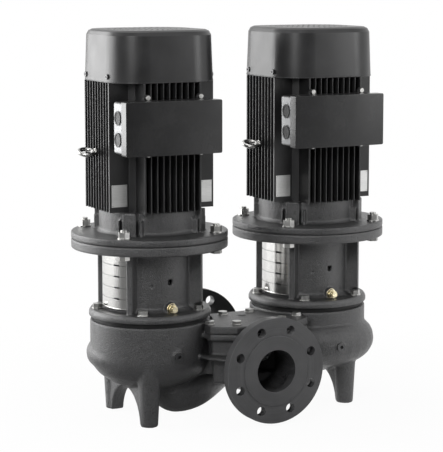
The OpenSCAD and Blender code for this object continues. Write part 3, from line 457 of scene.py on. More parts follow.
BRASS = Finish("machined_brass", (0.82, 0.72, 0.48), (0.95, 0.88, 0.66), 0.26, 0.12, 1.0, Pattern.SPRAY,
               1100.0, 0.00002, edge=0.0006, edge_highlight_colour=(0.95, 0.82, 0.52))
RUBBER = Finish("o_ring_rubber", (0.018, 0.018, 0.018), (0.034, 0.034, 0.034), 0.55, 0.15, 0.0, Pattern.SPRAY,
                1400.0, 0.00003, edge=0.0002)
CARBON = Finish("lapped_carbon", (0.05, 0.05, 0.053), (0.085, 0.085, 0.09), 0.30, 0.12, 0.0, Pattern.SPRAY,
                1600.0, 0.00002, edge=0.0003, level=0.8)
BARE_IRON = Finish("bare_impeller_iron", (0.24, 0.24, 0.25), (0.38, 0.37, 0.36), 0.44, 0.2, 0.8, Pattern.CAST,
                   700.0, 0.0003, edge=0.001, edge_highlight_colour=(0.6, 0.59, 0.57))
LAMINATE = Finish("stacked_sheet_steel", (0.30, 0.30, 0.32), (0.44, 0.44, 0.46), 0.38, 0.16, 0.9,
                  Pattern.BRUSHED, 1600.0, 0.00006, (0.05, 0.05, 1.0), edge=0.0004)
COPPER = Finish("varnished_copper_wire", (0.44, 0.17, 0.06), (0.66, 0.31, 0.14), 0.32, 0.14, 0.6,
                Pattern.WOUND, 180.0, 0.0006, edge=0.0012)
FAN = Finish("moulded_fan", (0.040, 0.041, 0.043), (0.060, 0.061, 0.064), 0.42, 0.10, grit=700.0,
             edge_highlight_colour=LID_EDGE)
BOARD = Finish("moulded_terminal_board", (0.50, 0.43, 0.28), (0.62, 0.55, 0.38), 0.48, 0.12, grit=800.0,
               depth=0.00005)
PLUG = Finish("moulded_plug", (0.010, 0.010, 0.0105), (0.018, 0.018, 0.0185), 0.46, 0.10, grit=900.0,
              depth=0.00003, edge_highlight_colour=(0.5, 0.5, 0.5), edge_highlight_share=0.8, level=0.3)
PLATE = Finish("blank_brushed_plate", (0.62, 0.62, 0.61), (0.80, 0.80, 0.79), 0.36, 0.14, 0.85,
               Pattern.BRUSHED, 1200.0, 0.00001, (0.05, 1.0, 1.0), edge=0.0003, edge_highlight_colour=(0.9, 0.9, 0.9))
DARK = Finish("blackened_screw", (0.05, 0.05, 0.052), (0.11, 0.11, 0.112), 0.34, 0.14, 0.9, Pattern.SPRAY,
              1100.0, 0.00003, edge=0.0005, edge_highlight_colour=(0.4, 0.4, 0.4))
GASKET = Finish("lid_gasket", (0.012, 0.012, 0.012), (0.022, 0.022, 0.022), 0.6, 0.1, grit=1500.0,
                depth=0.00003, edge=0.0002)


class Store:
    """Makes each material once and hands it out."""

    _made: dict[str, bpy.types.Material] = {}

    @classmethod
    def of(cls, finish: Finish) -> bpy.types.Material:
        """Returns the material of a finish."""
        if finish.name not in cls._made:
            cls._made[finish.name] = finish.make()
        return cls._made[finish.name]


def dress(node: str, finish: Finish) -> None:
    """Gives a CAD node a finish."""
    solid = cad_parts[node]
    for slot in solid.material_slots:
        slot.material = Store.of(finish)
    if not solid.material_slots:
        solid.data.materials.append(Store.of(finish))
    LOG.info("node %s wears %s", node, finish.name)


def adopt(piece: bpy.types.Object, body: str, slot: str, *nodes: str) -> bpy.types.Object:
    """Puts a piece on its CAD body.

    Args:
        piece: the finished piece, its object at the origin.
        body: the body it moves with.
        slot: the record's material slot; not used.
        nodes: the CAD nodes it stands for.

    Returns:
        The piece.
    """
    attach(piece, body)
    if nodes:
        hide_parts(*nodes)
    LOG.info("piece %s on %s: %d faces", piece.name, body, len(piece.data.polygons))
    return piece


def link(name: str, mesh: bpy.types.Mesh) -> bpy.types.Object:
    """Returns a new object for a mesh, in the scene and at the origin."""
    piece = bpy.data.objects.new(name, mesh)
    bpy.context.scene.collection.objects.link(piece)
    return piece


def applied(piece: bpy.types.Object) -> bpy.types.Object:
    """Turns a piece's modifiers into mesh and removes them.

    Args:
        piece: an object with modifiers.

    Returns:
        The same object with a plain mesh.
    """
    graph = bpy.context.evaluated_depsgraph_get()
    graph.update()
    mesh = bpy.data.meshes.new_from_object(piece.evaluated_get(graph), depsgraph=graph)
    piece.modifiers.clear()
    piece.data = mesh
    return piece


def merged_copy(node: str) -> bmesh.types.BMesh:
    """Returns a copy of a CAD node's mesh with its loose triangles joined."""
    work = bmesh.new()
    work.from_mesh(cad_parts[node].data)
    bmesh.ops.remove_doubles(work, verts=work.verts, dist=0.000004)
    return work


def smooth_by_angle(work: bmesh.types.BMesh, degrees: float) -> None:
    """Shades a mesh smoothly and keeps the edges sharper than an angle.

    Args:
        work: the mesh in work.
        degrees: the least angle of a sharp edge.
    """
    limit = math.radians(degrees)
    for face in work.faces:
        face.smooth = True
    for edge in work.edges:
        edge.smooth = len(edge.link_faces) == 2 and edge.calc_face_angle(0.0) < limit


def written(work: bmesh.types.BMesh, name: str, finish: Finish) -> bpy.types.Mesh:
    """Ends a mesh in work.

    Args:
        work: the mesh in work, which is freed.
        name: the new mesh's name.
        finish: the finish of all its faces.

    Returns:
        The mesh.
    """
    mesh = bpy.data.meshes.new(name)
    work.to_mesh(mesh)
    work.free()
    mesh.materials.clear()
    mesh.materials.append(Store.of(finish))
    for face in mesh.polygons:
        face.material_index = 0
    return mesh


def shell_of(node: str, body: str, slot: str, finish: Finish, degrees: float = 28.0) -> bpy.types.Object:
    """Stands a smoothly shaded copy in for a CAD node.

    Args:
        node: the CAD node.
        body: the body it rides on.
        slot: its material slot.
        finish: its finish.
        degrees: the least angle of an edge that stays sharp.

    Returns:
        The piece that replaces the node.
    """
    work = merged_copy(node)
    smooth_by_angle(work, degrees)
    return adopt(link(node + "_shell", written(work, node + "_shell", finish)), body, slot, node)


@dataclass
class CastSkin:
    """A casting's skin: the CAD solid remeshed and relaxed, so that every corner gets a cast fillet."""

    node: str
    finish: Finish
    voxel: float
    relax: int
    faces: int
    body: str = ROOT
    slot: str = "casting"
    held: Optional[Callable[[Vector], bool]] = None
    dropped: Optional[Callable[[Vector], bool]] = None

    def build(self) -> bpy.types.Object:
        """Builds the skin in place of its node.

        Returns:
            The piece, riding on its body.
        """
        work = merged_copy(self.node)
        mesh = bpy.data.meshes.new(self.node + "_skin")
        work.to_mesh(mesh)
        work.free()
        piece = link(self.node + "_skin", mesh)
        remesh = piece.modifiers.new("remesh", "REMESH")
        remesh.mode = "VOXEL"
        remesh.voxel_size = self.voxel * 1.0
        applied(piece)
        group = piece.vertex_groups.new(name="free")
        free = [v.index for v in piece.data.vertices if self.held is None or not self.held(v.co)]
        group.add(free, 1.0, "REPLACE")
        relax = piece.modifiers.new("relax", "SMOOTH")
        relax.factor, relax.iterations, relax.vertex_group = 0.5, self.relax, "free"
        triangles = sum(len(face.vertices) - 2 for face in piece.data.polygons)
        if triangles > self.faces:
            thin = piece.modifiers.new("thin", "DECIMATE")
            thin.ratio = self.faces / triangles
        applied(piece)
        piece.vertex_groups.clear()
        self._trim(piece.data)
        piece.data.materials.clear()
        piece.data.materials.append(Store.of(self.finish))
        return adopt(piece, self.body, self.slot, self.node)

    def _trim(self, mesh: bpy.types.Mesh) -> None:
        """Removes the faces that a crisp piece takes over, and shades the rest smoothly."""
        work = bmesh.new()
        work.from_mesh(mesh)
        if self.dropped is not None:
            gone = [face for face in work.faces if self.dropped(face.calc_center_median())]
            bmesh.ops.delete(work, geom=gone, context="FACES")
        for face in work.faces:
            face.smooth = True
            face.material_index = 0
        work.to_mesh(mesh)
        work.free()


class GeoTree:
    """A Geometry Nodes tree with named sizes, which ends in Realize Instances and Set Material."""

    def __init__(self, name: str) -> None:
        """Opens the tree with one geometry input."""
        self.tree = bpy.data.node_groups.new(name, "GeometryNodeTree")
        self.tree.interface.new_socket("Geometry", in_out="INPUT", socket_type="NodeSocketGeometry")
        self.tree.interface.new_socket("Geometry", in_out="OUTPUT", socket_type="NodeSocketGeometry")
        self.bench = Bench(self.tree)
        self.start = self.bench.add("NodeGroupInput")
        self.end = self.bench.add("NodeGroupOutput")
        self.names: dict[str, str] = {}

    def size(self, name: str, default: float) -> Socket:
        """Adds a named size and returns its socket inside the tree."""
        socket = self.tree.interface.new_socket(name, in_out="INPUT", socket_type="NodeSocketFloat")
        socket.default_value = default
        self.names[name] = socket.identifier
        return self.start.outputs[name]

    def close(self, geometry: Socket, finish: Finish) -> "GeoTree":
        """Ends the tree.

        Args:
            geometry: what the tree has made.
            finish: the finish that it gets.

        Returns:
            The tree itself.
        """
        real = self.bench.add("GeometryNodeRealizeInstances", {0: geometry}).outputs[0]
        smooth = self.bench.add("GeometryNodeSetShadeSmooth", {0: real}).outputs[0]
        coat = Store.of(finish)
        clothed = self.bench.add("GeometryNodeSetMaterial", {"Geometry": smooth, "Material": coat})
        self.bench.feed(self.end.inputs[0], clothed.outputs[0])
        return self

    def grow(self, name: str, seed: bpy.types.Mesh, **sizes: float) -> bpy.types.Object:
        """Runs the tree on a seed mesh.

        Args:
            name: the new piece's name.
            seed: the mesh of points or edges that the tree works on.
            sizes: values for the named sizes.

        Returns:
            A plain mesh object.
        """
        piece = link(name, seed)
        run = piece.modifiers.new("shape", "NODES")
        run.node_group = self.tree
        for key, value in sizes.items():
            run[self.names[key]] = value
        return applied(piece)


def seed_points(name: str, spots: Sequence[tuple[Vector, Vector]]) -> bpy.types.Mesh:
    """Returns a mesh of loose points that carry the direction in which a part stands on each.

    Args:
        name: the mesh's name.
        spots: place and direction of each point.

    Returns:
        The mesh, with the vector attribute "aim".
    """
    mesh = bpy.data.meshes.new(name)
    mesh.from_pydata([tuple(place) for place, _ in spots], [], [])
    aim = mesh.attributes.new("aim", "FLOAT_VECTOR", "POINT")
    aim.data.foreach_set("vector", [c for _, direction in spots for c in direction])
    return mesh


def seed_path(name: str, paths: Sequence[Sequence[Vector]], closed: bool = True) -> bpy.types.Mesh:
    """Returns a mesh of edges along one or more paths."""
    points: list[tuple[float, float, float]] = []
    edges: list[tuple[int, int]] = []
    for path in paths:
        first = len(points)
        points += [tuple(p) for p in path]
        edges += [(first + i, first + i + 1) for i in range(len(path) - 1)]
        if closed:
            edges.append((first + len(path) - 1, first))
    mesh = bpy.data.meshes.new(name)
    mesh.from_pydata(points, edges, [])
    return mesh


class Repeats:
    """Geometry Nodes trees for the small parts that repeat."""

    @staticmethod
    def _stand(tree: GeoTree, part: Socket) -> Socket:
        """Stands a part on each seed point along its aim, and returns the instances."""
        bench = tree.bench
        named = bench.add("GeometryNodeInputNamedAttribute", {"Name": "aim"}, data_type="FLOAT_VECTOR")
        turn = bench.add("FunctionNodeAlignRotationToVector", {"Vector": named.outputs[0]}, axis="Z")
        return bench.add("GeometryNodeInstanceOnPoints", {"Points": tree.start.outputs[0], "Instance": part,
                                                          "Rotation": turn.outputs[0]}).outputs[0]

    @staticmethod
    def _circle(tree: GeoTree, corners: int, radius: Socket) -> Socket:
        """Returns a circle as a curve."""
        return tree.bench.add("GeometryNodeCurvePrimitiveCircle",
                              {"Resolution": corners, "Radius": radius}).outputs[0]

    @classmethod
    def _swept(cls, tree: GeoTree, path: Socket, corners: int, radius: Socket, caps: bool) -> Socket:
        """Returns a round wire along a curve.

        Args:
            tree: the tree in work.
            path: the curve.
            corners: the number of corners of the wire's section.
            radius: the wire's radius.
            caps: whether its ends are closed.
        """
        wire = cls._circle(tree, corners, radius)
        return tree.bench.add("GeometryNodeCurveToMesh", {0: path, 1: wire, "Fill Caps": caps}).outputs[0]

    @classmethod
    def rivets(cls, finish: Finish) -> GeoTree:
        """Low domed heads on points."""
        tree = GeoTree("Rivets")
        radius, rise = tree.size("radius", 0.0016), tree.size("rise", 0.5)
        ball = tree.bench.add("GeometryNodeMeshUVSphere", {"Segments": 14, "Rings": 8, "Radius": radius})
        flat = tree.bench.add("ShaderNodeCombineXYZ", {0: 1.0, 1: 1.0, 2: rise}).outputs[0]
        head = tree.bench.add("GeometryNodeTransform", {"Geometry": ball.outputs[0], "Scale": flat})
        return tree.close(cls._stand(tree, head.outputs[0]), finish)

    @classmethod
    def rings(cls, finish: Finish) -> GeoTree:
        """Flat rings with a rounded section on points, for washers and collars."""
        tree = GeoTree("Rings")
        radius, thick = tree.size("radius", 0.008), tree.size("thick", 0.0008)
        ring = cls._swept(tree, cls._circle(tree, 36, radius), 8, thick, False)
        return tree.close(cls._stand(tree, ring), finish)

    @classmethod
    def threads(cls, finish: Finish) -> GeoTree:
        """Screw threads on points: a spiral ridge of a few turns."""
        tree = GeoTree("Threads")
        radius, pitch = tree.size("radius", 0.006), tree.size("pitch", 0.00175)
        turns, ridge = tree.size("turns", 2.0), tree.size("ridge", 0.0005)
        height = tree.bench.math("MULTIPLY", pitch, turns)
        spiral = tree.bench.add("GeometryNodeCurveSpiral", {"Resolution": 24, "Rotations": turns,
                                                            "Start Radius": radius, "End Radius": radius,
                                                            "Height": height}).outputs[0]
        return tree.close(cls._stand(tree, cls._swept(tree, spiral, 6, ridge, True)), finish)

    @classmethod
    def beads(cls, finish: Finish) -> GeoTree:
        """A round bead that follows the edges of the seed."""
        tree = GeoTree("Beads")
        radius = tree.size("radius", 0.001)
        path = tree.bench.add("GeometryNodeMeshToCurve", {0: tree.start.outputs[0]}).outputs[0]
        return tree.close(cls._swept(tree, path, 10, radius, True), finish)


def heading(degrees: float) -> Vector:
    """Returns the level direction at an angle from the front toward +X."""
    angle = math.radians(degrees)
    return Vector((math.sin(angle), -math.cos(angle), 0.0))


def rounded_path(half: float, corner: float, centre: Vector, steps: int = 10) -> list[Vector]:
    """Returns the points of a rounded square in a level plane.

    Args:
        half: half the square's side.
        corner: the radius of its corners.
        centre: its middle.
        steps: the number of chords in each corner.

    Returns:
        The points, round the square once.
    """
    points = []
    for quarter in range(4):
        sign_x = 1 if quarter in (0, 3) else -1
        sign_y = 1 if quarter in (0, 1) else -1
        middle = centre + Vector((sign_x * (half - corner), sign_y * (half - corner), 0.0))
        for step in range(steps + 1):
            angle = math.radians(90 * quarter + 90 * step / steps)
            points.append(middle + Vector((corner * math.cos(angle), corner * math.sin(angle), 0.0)))
    return points


@dataclass
class Housing:
    """The flanged housing with its valve chamber, in metres."""

    flange_back: float = 0.160
    fillet_r: float = 0.071
    neck_r: float = 0.0915
    room_z: float = 0.099
    seat_r: float = 0.052
    seat_z: float = 0.0685
    port_r: float = 0.0406
    port_end: float = 0.09
    chamber_x: tuple[float, float] = (-0.0735, 0.0735)
    chamber_y: tuple[float, float] = (-0.1005, -0.0225)
    chamber_z: tuple[float, float] = (0.0825, 0.1725)
    cover_top: float = 0.186
    washer_rise: float = 0.0007
    cover_bolts: tuple[tuple[float, float], ...] = ((0.093, -0.088), (0.048, -0.111), (0.029, -0.015))

    def held(self, p: Vector) -> bool:
        """True for the inner walls that other pieces run against."""
        ranges = (self.chamber_x, self.chamber_y, self.chamber_z)
        if all(low < at < high for at, (low, high) in zip(p, ranges)):
            return True
        if abs(p.y) > self.port_end and math.hypot(p.x, p.z - PORT_Z) < self.port_r:
            return True
        for side in Side:
            reach = math.hypot(p.x - side.centre.x, p.y - side.centre.y)
            if (reach < self.neck_r and p.z > self.room_z) or (reach < self.seat_r and p.z > self.seat_z):
                return True
        return False

    def dropped(self, p: Vector) -> bool:
        """True for what the crisp flanges take over."""
        if abs(p.y) > self.flange_back + 0.0006:
            return True
        return abs(p.y) > self.flange_back - 0.0010 and math.hypot(p.x, p.z - PORT_Z) > self.fillet_r

    def build(self) -> None:
        """Builds the cast skin, the turned flanges, the cover and the small parts on them."""
        CastSkin("pump_housing", CAST, 0.0021, 9, 150000, held=self.held, dropped=self.dropped).build()
        self._flanges()
        CastSkin("valve_cover", CAST, 0.0012, 5, 60000).build()
        shell_of("valve_cover_bolts", ROOT, "zinc_bolts", ZINC)
        shell_of("head_bolts", ROOT, "zinc_bolts", ZINC)
        shell_of("housing_plugs", ROOT, "small_dark", DARK)
        level = self.cover_top + self.washer_rise
        spots = [(Vector((sign * x, y, level)), UP) for x, y in self.cover_bolts for sign in (-1, 1)]
        washers = Repeats.rings(ZINC).grow("cover_bolt_washers", seed_points("cover_bolt_spots", spots),
                                           radius=0.0088, thick=0.0008)
        adopt(washers, ROOT, "zinc_bolts")

    def _flanges(self) -> None:
        """Cuts the two flange plates from the CAD mesh and keeps their edges crisp."""
        plates = bmesh.new()
        for sign in (-1, 1):
            half = merged_copy("pump_housing")
            bmesh.ops.bisect_plane(half, geom=half.verts[:] + half.edges[:] + half.faces[:], dist=0.000002,
                                   plane_co=(0, sign * (self.flange_back - 0.0002), 0), plane_no=(0, sign, 0),
                                   clear_inner=True)
            mesh = bpy.data.meshes.new("half")
            half.to_mesh(mesh)
            half.free()
            plates.from_mesh(mesh)
            bpy.data.meshes.remove(mesh)
        smooth_by_angle(plates, 28.0)
        adopt(link("port_flanges", written(plates, "port_flanges", FLANGE)), ROOT, "casting", "pump_housing")


@dataclass
class StoolUnit:
    """One stool with its guards, head cover and vent, in metres."""

    side: Side
    guard_r: float = 0.090
    guard_low: float = 0.217
    guard_high: float = 0.319
    half_angle: float = 43.0
    vent_angle: float = 3.0
    vent_z: float = 0.2196
    window_angle: float = 4.0
    window: tuple[float, float] = (0.259, 0.277)
    window_half: float = 0.008
    window_start: float = 0.06
    inner_r: float = 0.0715
    inner_top: float = 0.21
    bead_inset: float = 0.0012
    # Height, pitch and count of the painted shade lines across the guards.
    painted_shade_lines: tuple[float, float, int] = (0.23675, 0.021, 4)
    shade_line_short: float = 5.0
    vent_reach: float = 0.0876

    def held(self, p: Vector) -> bool:
        """True for the inner wall that faces the coupling and for the square window's edges."""
        local = p - self.side.centre
        beside = abs(local.dot(heading(self.window_angle + 90.0)))
        ahead = local.dot(heading(self.window_angle))
        low, high = self.window
        if beside < self.window_half and ahead > self.window_start and low < p.z < high:
            return True
        return math.hypot(local.x, local.y) < self.inner_r and p.z < self.inner_top

    def build(self) -> None:
        """Builds the stool's skin, the guards with their rolled edges, and the vent."""
        name = self.side.prefix
        CastSkin(name + "motor_stool", STOOL, 0.0017, 5, 90000, held=self.held).build()
        # Painted shade of the groove between stool and housing.
        dress(name + "head_cover", NECK)
        shell_of(name + "coupling_guards", ROOT, "stainless", STAINLESS)
        self._guard_edges()
        vent = "left_vent" if self.side is Side.LEFT else "right_vent"
        shell_of(name + "vent_screw", vent, "brass", BRASS)
        aim = heading(self.vent_angle)
        base = self.side.centre + UP * self.vent_z + aim * self.vent_reach
        collar = Repeats.rings(BRASS).grow(name + "vent_collar", seed_points("vent_spot", [(base, aim)]),
                                           radius=0.0095, thick=0.0008)
        adopt(collar, ROOT, "brass")

    def _guard_edges(self) -> None:
        """Rolls a thin bead along the top and bottom edge of both guards, and lays thin dark beads across them
        as painted shade lines.
        """
        edges = (self.guard_low + self.bead_inset, self.guard_high - self.bead_inset)
        paths = self._arcs(edges, self.half_angle, self.guard_r - 0.0002)
        beads = Repeats.beads(STAINLESS).grow(self.side.prefix + "guard_beads",
                                              seed_path("guard_paths", paths, False), radius=0.0009)
        adopt(beads, ROOT, "stainless")
        # Painted shade: dark beads across the guards stand in for the shade in their slits.
        low, pitch, rows = self.painted_shade_lines
        paths = self._arcs([low + pitch * row for row in range(rows)], self.half_angle - self.shade_line_short,
                           self.guard_r + 0.00005)
        painted_shade_lines = Repeats.beads(DARK).grow(self.side.prefix + "guard_painted_shade_lines",
                                         seed_path("shade_line_paths", paths, False), radius=0.0004)
        adopt(painted_shade_lines, ROOT, "small_dark")

    def _arcs(self, levels: Sequence[float], half_angle: float, radius: float) -> list[list[Vector]]:
        """Draws level arcs along both guards.

        Args:
            levels: the arcs' heights over the floor.
            half_angle: half the angle of each arc, in degrees.
            radius: the arcs' radius.

        Returns:
            The points of each arc.
        """
        turns = [step / ARC_STEPS - 1 for step in range(2 * ARC_STEPS + 1)]
        return [[self.side.centre + heading(90 * sign + half_angle * turn) * radius + UP * level
                 for turn in turns] for sign in (-1, 1) for level in levels]


@dataclass
class MotorUnit:
    """One motor with its terminal box, fan cover, plates and bolts, in metres."""

    side: Side
    flange_top: float = 0.358
    bolt_r: float = 0.1325
    hood_low: float = 0.640
    hood_half: float = 0.106
    hood_corner: float = 0.064
    top: float = 0.735
    wall_y: float = -0.0573
    plate_t: float = 0.0008
    plates: tuple[tuple[float, float], ...] = ((-0.102, -0.071), (0.080, 0.102))
    plate_z: tuple[float, float] = (0.412, 0.453)
    rivet_inset: float = 0.0022
    box: tuple[float, float, float, float] = (-0.118, 0.072, 0.515, 0.612)
    gasket_inset: float = 0.0014
    gasket_steps: int = 8
    seam_y: float = -0.142
    rim_sunk: float = 0.0004
    bead_r: float = 0.0011
    cap_sunk: float = 0.0026
    bearing_r: float = 0.045
    thread_rise: float = 0.0135
    fin_tip: float = 0.106
    fin_pitch: float = 0.0124
    outer_fin: float = 0.050
    taper: float = 0.55

    def build(self) -> None:
        """Builds the motor's shells and small parts."""
        name = self.side.prefix
        CastSkin(name + "end_shield", SHIELD, 0.0017, 5, 80000, held=self.held).build()
        self._tapered_frame()
        dress(name + "upper_shield", MOTOR)
        shell_of(name + "fan_cover", ROOT, "motor_sheet", HOOD, 24.0)
        shell_of(name + "terminal_box", ROOT, "motor_alloy", BOX)
        shell_of(name + "terminal_lid", ROOT, "motor_alloy", LID, 24.0)
        self._hood_parts()
        self._box_gasket()
        self._plate_rivets()
        self._bolt_threads()

    def held(self, p: Vector) -> bool:
        """True for the bearing seat and the bore round the shaft."""
        return math.hypot(p.x - self.side.centre.x, p.y - self.side.centre.y) < self.bearing_r

    def _tapered_frame(self) -> None:
        """Stands a copy with fins that thin out toward their tips in for the finned frame."""
        work = merged_copy(self.side.prefix + "stator_frame")
        for vert in work.verts:
            local = vert.co - self.side.centre
            for across, out in ((0, 1), (1, 0)):
                middle = (round(local[across] / self.fin_pitch - 0.5) + 0.5) * self.fin_pitch
                at_tip = abs(abs(local[out]) - self.fin_tip) < 0.0004 and abs(local[across] - middle) < 0.0016
                if at_tip and abs(middle) < self.outer_fin:
                    vert.co[across] -= self.taper * (local[across] - middle)
        smooth_by_angle(work, 24.0)
        mesh = written(work, self.side.prefix + "tapered_frame", MOTOR)
        adopt(link(mesh.name, mesh), ROOT, "motor_alloy", self.side.prefix + "stator_frame")

    def _hood_parts(self) -> None:
        """Rolls the fan cover's lower rim and closes the middle of its grille with a bright cap."""
        rim = rounded_path(self.hood_half - self.rim_sunk, self.hood_corner,
                           self.side.centre + UP * (self.hood_low + self.bead_r))
        bead = Repeats.beads(HOOD).grow(self.side.prefix + "hood_rim", seed_path("hood_path", [rim]),
                                        radius=self.bead_r)
        adopt(bead, ROOT, "motor_sheet")
        spot = [(self.side.centre + UP * (self.top - self.cap_sunk), UP)]
        cap = Repeats.rivets(ZINC).grow(self.side.prefix + "grille_cap", seed_points("cap_spot", spot),
                                        radius=0.011, rise=0.23)
        adopt(cap, ROOT, "zinc_bolts")

    def _box_gasket(self) -> None:
        """Lays a gasket bead in the seam between the terminal box and its lid."""
        left, right, low, high = self.box
        left, right = left + self.gasket_inset, right - self.gasket_inset
        low, high = low + self.gasket_inset, high - self.gasket_inset
        turns = ((left, low), (right, low), (right, high), (left, high))
        corners = [Vector((x, self.seam_y, z)) for x, z in turns]
        path = []
        for start, after in zip(corners, corners[1:] + corners[:1]):
            path += [self.side.centre + start.lerp(after, step / self.gasket_steps)
                     for step in range(self.gasket_steps)]
        gasket = Repeats.beads(GASKET).grow(self.side.prefix + "box_gasket", seed_path("seam", [path]),
                                            radius=self.bead_r)
        adopt(gasket, ROOT, "rubber")

    def _plate_rivets(self) -> None:
        """Rivets the four corners of both blank plates."""
        low, high = self.plate_z
        inset = self.rivet_inset
        spots = [(self.side.centre + Vector((x, self.wall_y - self.plate_t, z)), heading(0.0))
                 for left, right in self.plates
                 for x in (left + inset, right - inset) for z in (low + inset, high - inset)]
        rivets = Repeats.rivets(ZINC).grow(self.side.prefix + "plate_rivets",
                                           seed_points("rivet_spots", spots), radius=0.0011, rise=0.6)
        adopt(rivets, ROOT, "zinc_bolts")

    def _bolt_threads(self) -> None:
        """Cuts visible threads on the ends of the motor bolts above their nuts."""
        level = UP * (self.flange_top + self.thread_rise)
        spots = [(self.side.centre + heading(45 + 90 * i) * self.bolt_r + level, UP) for i in range(4)]
        threads = Repeats.threads(ZINC).grow(self.side.prefix + "bolt_threads",
                                             seed_points("bolt_spots", spots),
                                             radius=0.0059, pitch=0.00175, turns=1.8, ridge=0.0005)
        adopt(threads, ROOT, "zinc_bolts")


@dataclass
class SharedParts:
    """CAD nodes that only need a finish, and those that need smooth shading too."""

    smooth: dict[str, tuple[str, Finish]] = field(default_factory=lambda: {
        "flange_bolts": ("zinc_bolts", ZINC), "flange_nuts": ("zinc_bolts", ZINC),
        "eye_bolts": ("zinc_bolts", ZINC), "terminal_screws": ("zinc_bolts", ZINC),
        "vent_bodies": ("brass", BRASS), "blanking_plugs": ("plug_plastic", PLUG),
        "fan_cover_screws": ("small_dark", DARK)})
    plain: dict[str, Finish] = field(default_factory=lambda: {
        "flap_pin": STEEL, "flap": BARE_IRON, "wear_rings": BRASS, "seal_seats": CARBON,
        "head_o_rings": RUBBER, "nameplates": PLATE, "terminal_boards": BOARD, "bearings": STEEL})
    paired: dict[str, Finish] = field(default_factory=lambda: {
        "stator": COPPER, "motor_shaft": STEEL, "rotor_core": LAMINATE, "fan": FAN, "coupling": CAST,
        "coupling_screws": DARK, "pump_shaft": STEEL, "impeller": BARE_IRON, "impeller_nut": STEEL,
        "seal_head": STEEL})

    def build(self) -> None:
        """Dresses every node that no other class has dressed."""
        for node, (slot, finish) in self.smooth.items():
            shell_of(node, ROOT, slot, finish)
        for node, finish in self.plain.items():
            dress(node, finish)
        for side in Side:
            for node, finish in self.paired.items():
                dress(side.prefix + node, finish)


@dataclass(frozen=True)
class SoftBox:
    """A rectangular light that looks at the middle of the pump, in metres, degrees and watts.

    The azimuth is the lamp's bearing from the front toward +X, the reach its distance from the upright
    through the origin.
    """

    name: str
    azimuth: float
    reach: float
    height: float
    size: tuple[float, float]
    watts: float
    target_z: float = 0.38

    def hang(self) -> None:
        """Adds the lamp to the scene."""
        data = bpy.data.lights.new(self.name, "AREA")
        data.shape = "RECTANGLE"
        data.size, data.size_y = self.size
        data.energy = self.watts
        lamp = bpy.data.objects.new(self.name, data)
        lamp.location = self.reach * heading(self.azimuth) + UP * self.height
        lamp.rotation_euler = (UP * self.target_z - lamp.location).to_track_quat("-Z", "Y").to_euler()
        bpy.context.scene.collection.objects.link(lamp)


SOFT_BOXES = (
    SoftBox("left_box", -133.0, 2.7, 0.95, (2.9, 2.0), 88.0),
    SoftBox("right_box", 44.0, 2.6, 1.15, (0.6, 1.3), 14.0),
    SoftBox("front_box", -46.0, 2.6, 1.5, (0.9, 0.9), 32.0),
    SoftBox("top_box", -60.0, 0.3, 2.6, (1.6, 1.2), 13.0))


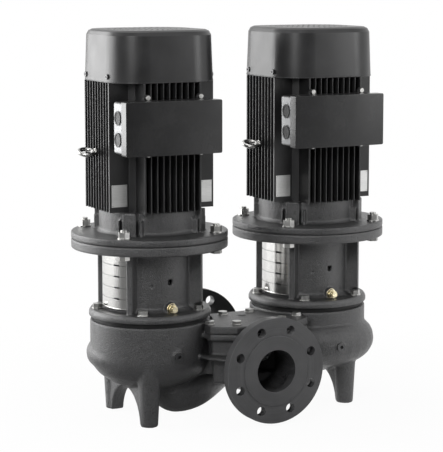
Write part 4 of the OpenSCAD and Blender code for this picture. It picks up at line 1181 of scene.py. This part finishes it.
@dataclass
class Studio:
    """White floor, soft boxes and the photograph's camera, in metres and degrees."""

    azimuth: float = -27.01
    elevation: float = 7.67
    distance: float = 3.4434
    target: tuple[float, float, float] = (0.0, 0.010, 0.3906)
    lens: float = 142.1
    shift: tuple[float, float] = (-0.0193, -0.0429)
    dark_corner: float = -42.0
    dark_share: float = 0.8
    fill: float = 0.21
    floor_half: float = 30.0
    floor_drop: float = 0.0004
    floor_colour: Colour = (0.80, 0.80, 0.80)
    floor_share: float = 0.955
    shadow_reach: tuple[float, float] = (0.28, 0.9)

    def build(self) -> None:
        """Builds the camera, the floor, the world and the lights."""
        self._camera()
        self._floor()
        self._world()
        for soft_box in SOFT_BOXES:
            soft_box.hang()

    def _camera(self) -> None:
        """Places the camera at the photograph's viewing angle."""
        el = math.radians(self.elevation)
        target = Vector(self.target)
        place = target + self.distance * (heading(self.azimuth) * math.cos(el) + UP * math.sin(el))
        data = bpy.data.cameras.new("camera")
        data.sensor_width = 36.0
        data.lens = self.lens
        data.shift_x, data.shift_y = self.shift
        data.clip_end = 50.0
        camera = bpy.data.objects.new("camera", data)
        camera.location = place
        camera.rotation_euler = (target - place).to_track_quat("-Z", "Y").to_euler()
        bpy.context.scene.collection.objects.link(camera)
        bpy.context.scene.camera = camera

    @staticmethod
    def _split(bench: Bench, light: bpy.types.Node, backdrop: bpy.types.Node) -> Socket:
        """Shows the backdrop to camera, glossy and transmission rays, and the light to all others."""
        path = bench.add("ShaderNodeLightPath")
        seen = bench.math("MAXIMUM", path.outputs["Is Camera Ray"], path.outputs["Is Glossy Ray"])
        seen = bench.math("MAXIMUM", seen, path.outputs["Is Transmission Ray"])
        mixed = bench.add("ShaderNodeMixShader", {0: seen, 1: light.outputs[0], 2: backdrop.outputs[0]})
        return mixed.outputs[0]

    def _white(self, bench: Bench, place: Value) -> Socket:
        """Returns the backdrop's strength: 1, and less where reflections look into the dark front corner.

        Args:
            bench: the tree in work.
            place: where the ray ends, as a vector from the middle of the studio.

        Returns:
            The strength's socket.
        """
        toward = bench.add("ShaderNodeVectorMath", {0: place}, operation="NORMALIZE").outputs[0]
        facing = bench.add("ShaderNodeVectorMath", {0: toward, 1: tuple(heading(self.dark_corner))},
                           operation="DOT_PRODUCT").outputs["Value"]
        mirrored = bench.add("ShaderNodeLightPath").outputs["Is Glossy Ray"]
        loss = bench.math("MULTIPLY", bench.span(facing, 0.15, 0.62, 0.0, self.dark_share), mirrored)
        return bench.math("SUBTRACT", 1.0, loss)

    def _floor(self) -> None:
        """Lays a plain white floor that keeps a faint shadow."""
        mesh = bpy.data.meshes.new("floor")
        signs = ((-1, -1), (1, -1), (1, 1), (-1, 1))
        corners = [(self.floor_half * x, self.floor_half * y, 0) for x, y in signs]
        mesh.from_pydata(corners, [], [(0, 1, 2, 3)])
        floor = link("floor", mesh)
        floor.location.z = -self.floor_drop
        material = bpy.data.materials.new("white_floor")
        material.use_nodes = True
        material.node_tree.nodes.clear()
        bench = Bench(material.node_tree)
        lit = bench.add("ShaderNodeBsdfDiffuse", {"Color": self.floor_colour})
        place = bench.add("ShaderNodeTexCoord").outputs["Object"]
        glow = bench.add("ShaderNodeEmission", {"Color": WHITE, "Strength": self._white(bench, place)})
        away = bench.add("ShaderNodeVectorMath", {0: place}, operation="LENGTH").outputs["Value"]
        share = bench.span(away, *self.shadow_reach, self.floor_share, 1.0)
        shown = bench.add("ShaderNodeMixShader", {0: share, 1: lit.outputs[0], 2: glow.outputs[0]})
        both = self._split(bench, lit, shown)
        bench.add("ShaderNodeOutputMaterial", {"Surface": both})
        mesh.materials.append(material)

    def _world(self) -> None:
        """Sets a white backdrop with a softer light of its own."""
        world = bpy.data.worlds.new("studio")
        world.use_nodes = True
        world.node_tree.nodes.clear()
        bench = Bench(world.node_tree)
        light = bench.add("ShaderNodeBackground", {"Color": WHITE, "Strength": self.fill})
        aim = bench.add("ShaderNodeTexCoord").outputs["Generated"]
        white = bench.add("ShaderNodeBackground", {"Color": WHITE, "Strength": self._white(bench, aim)})
        bench.add("ShaderNodeOutputWorld", {"Surface": self._split(bench, light, white)})
        bpy.context.scene.world = world


def main() -> None:
    """Builds the studio and the pump in order."""
    logging.basicConfig(level=logging.INFO, format="%(name)s: %(message)s")
    bpy.context.scene.view_settings.view_transform = "Standard"
    Studio().build()
    Housing().build()
    for side in Side:
        StoolUnit(side).build()
        MotorUnit(side).build()
    SharedParts().build()


if __name__ == "__main__":
    main()
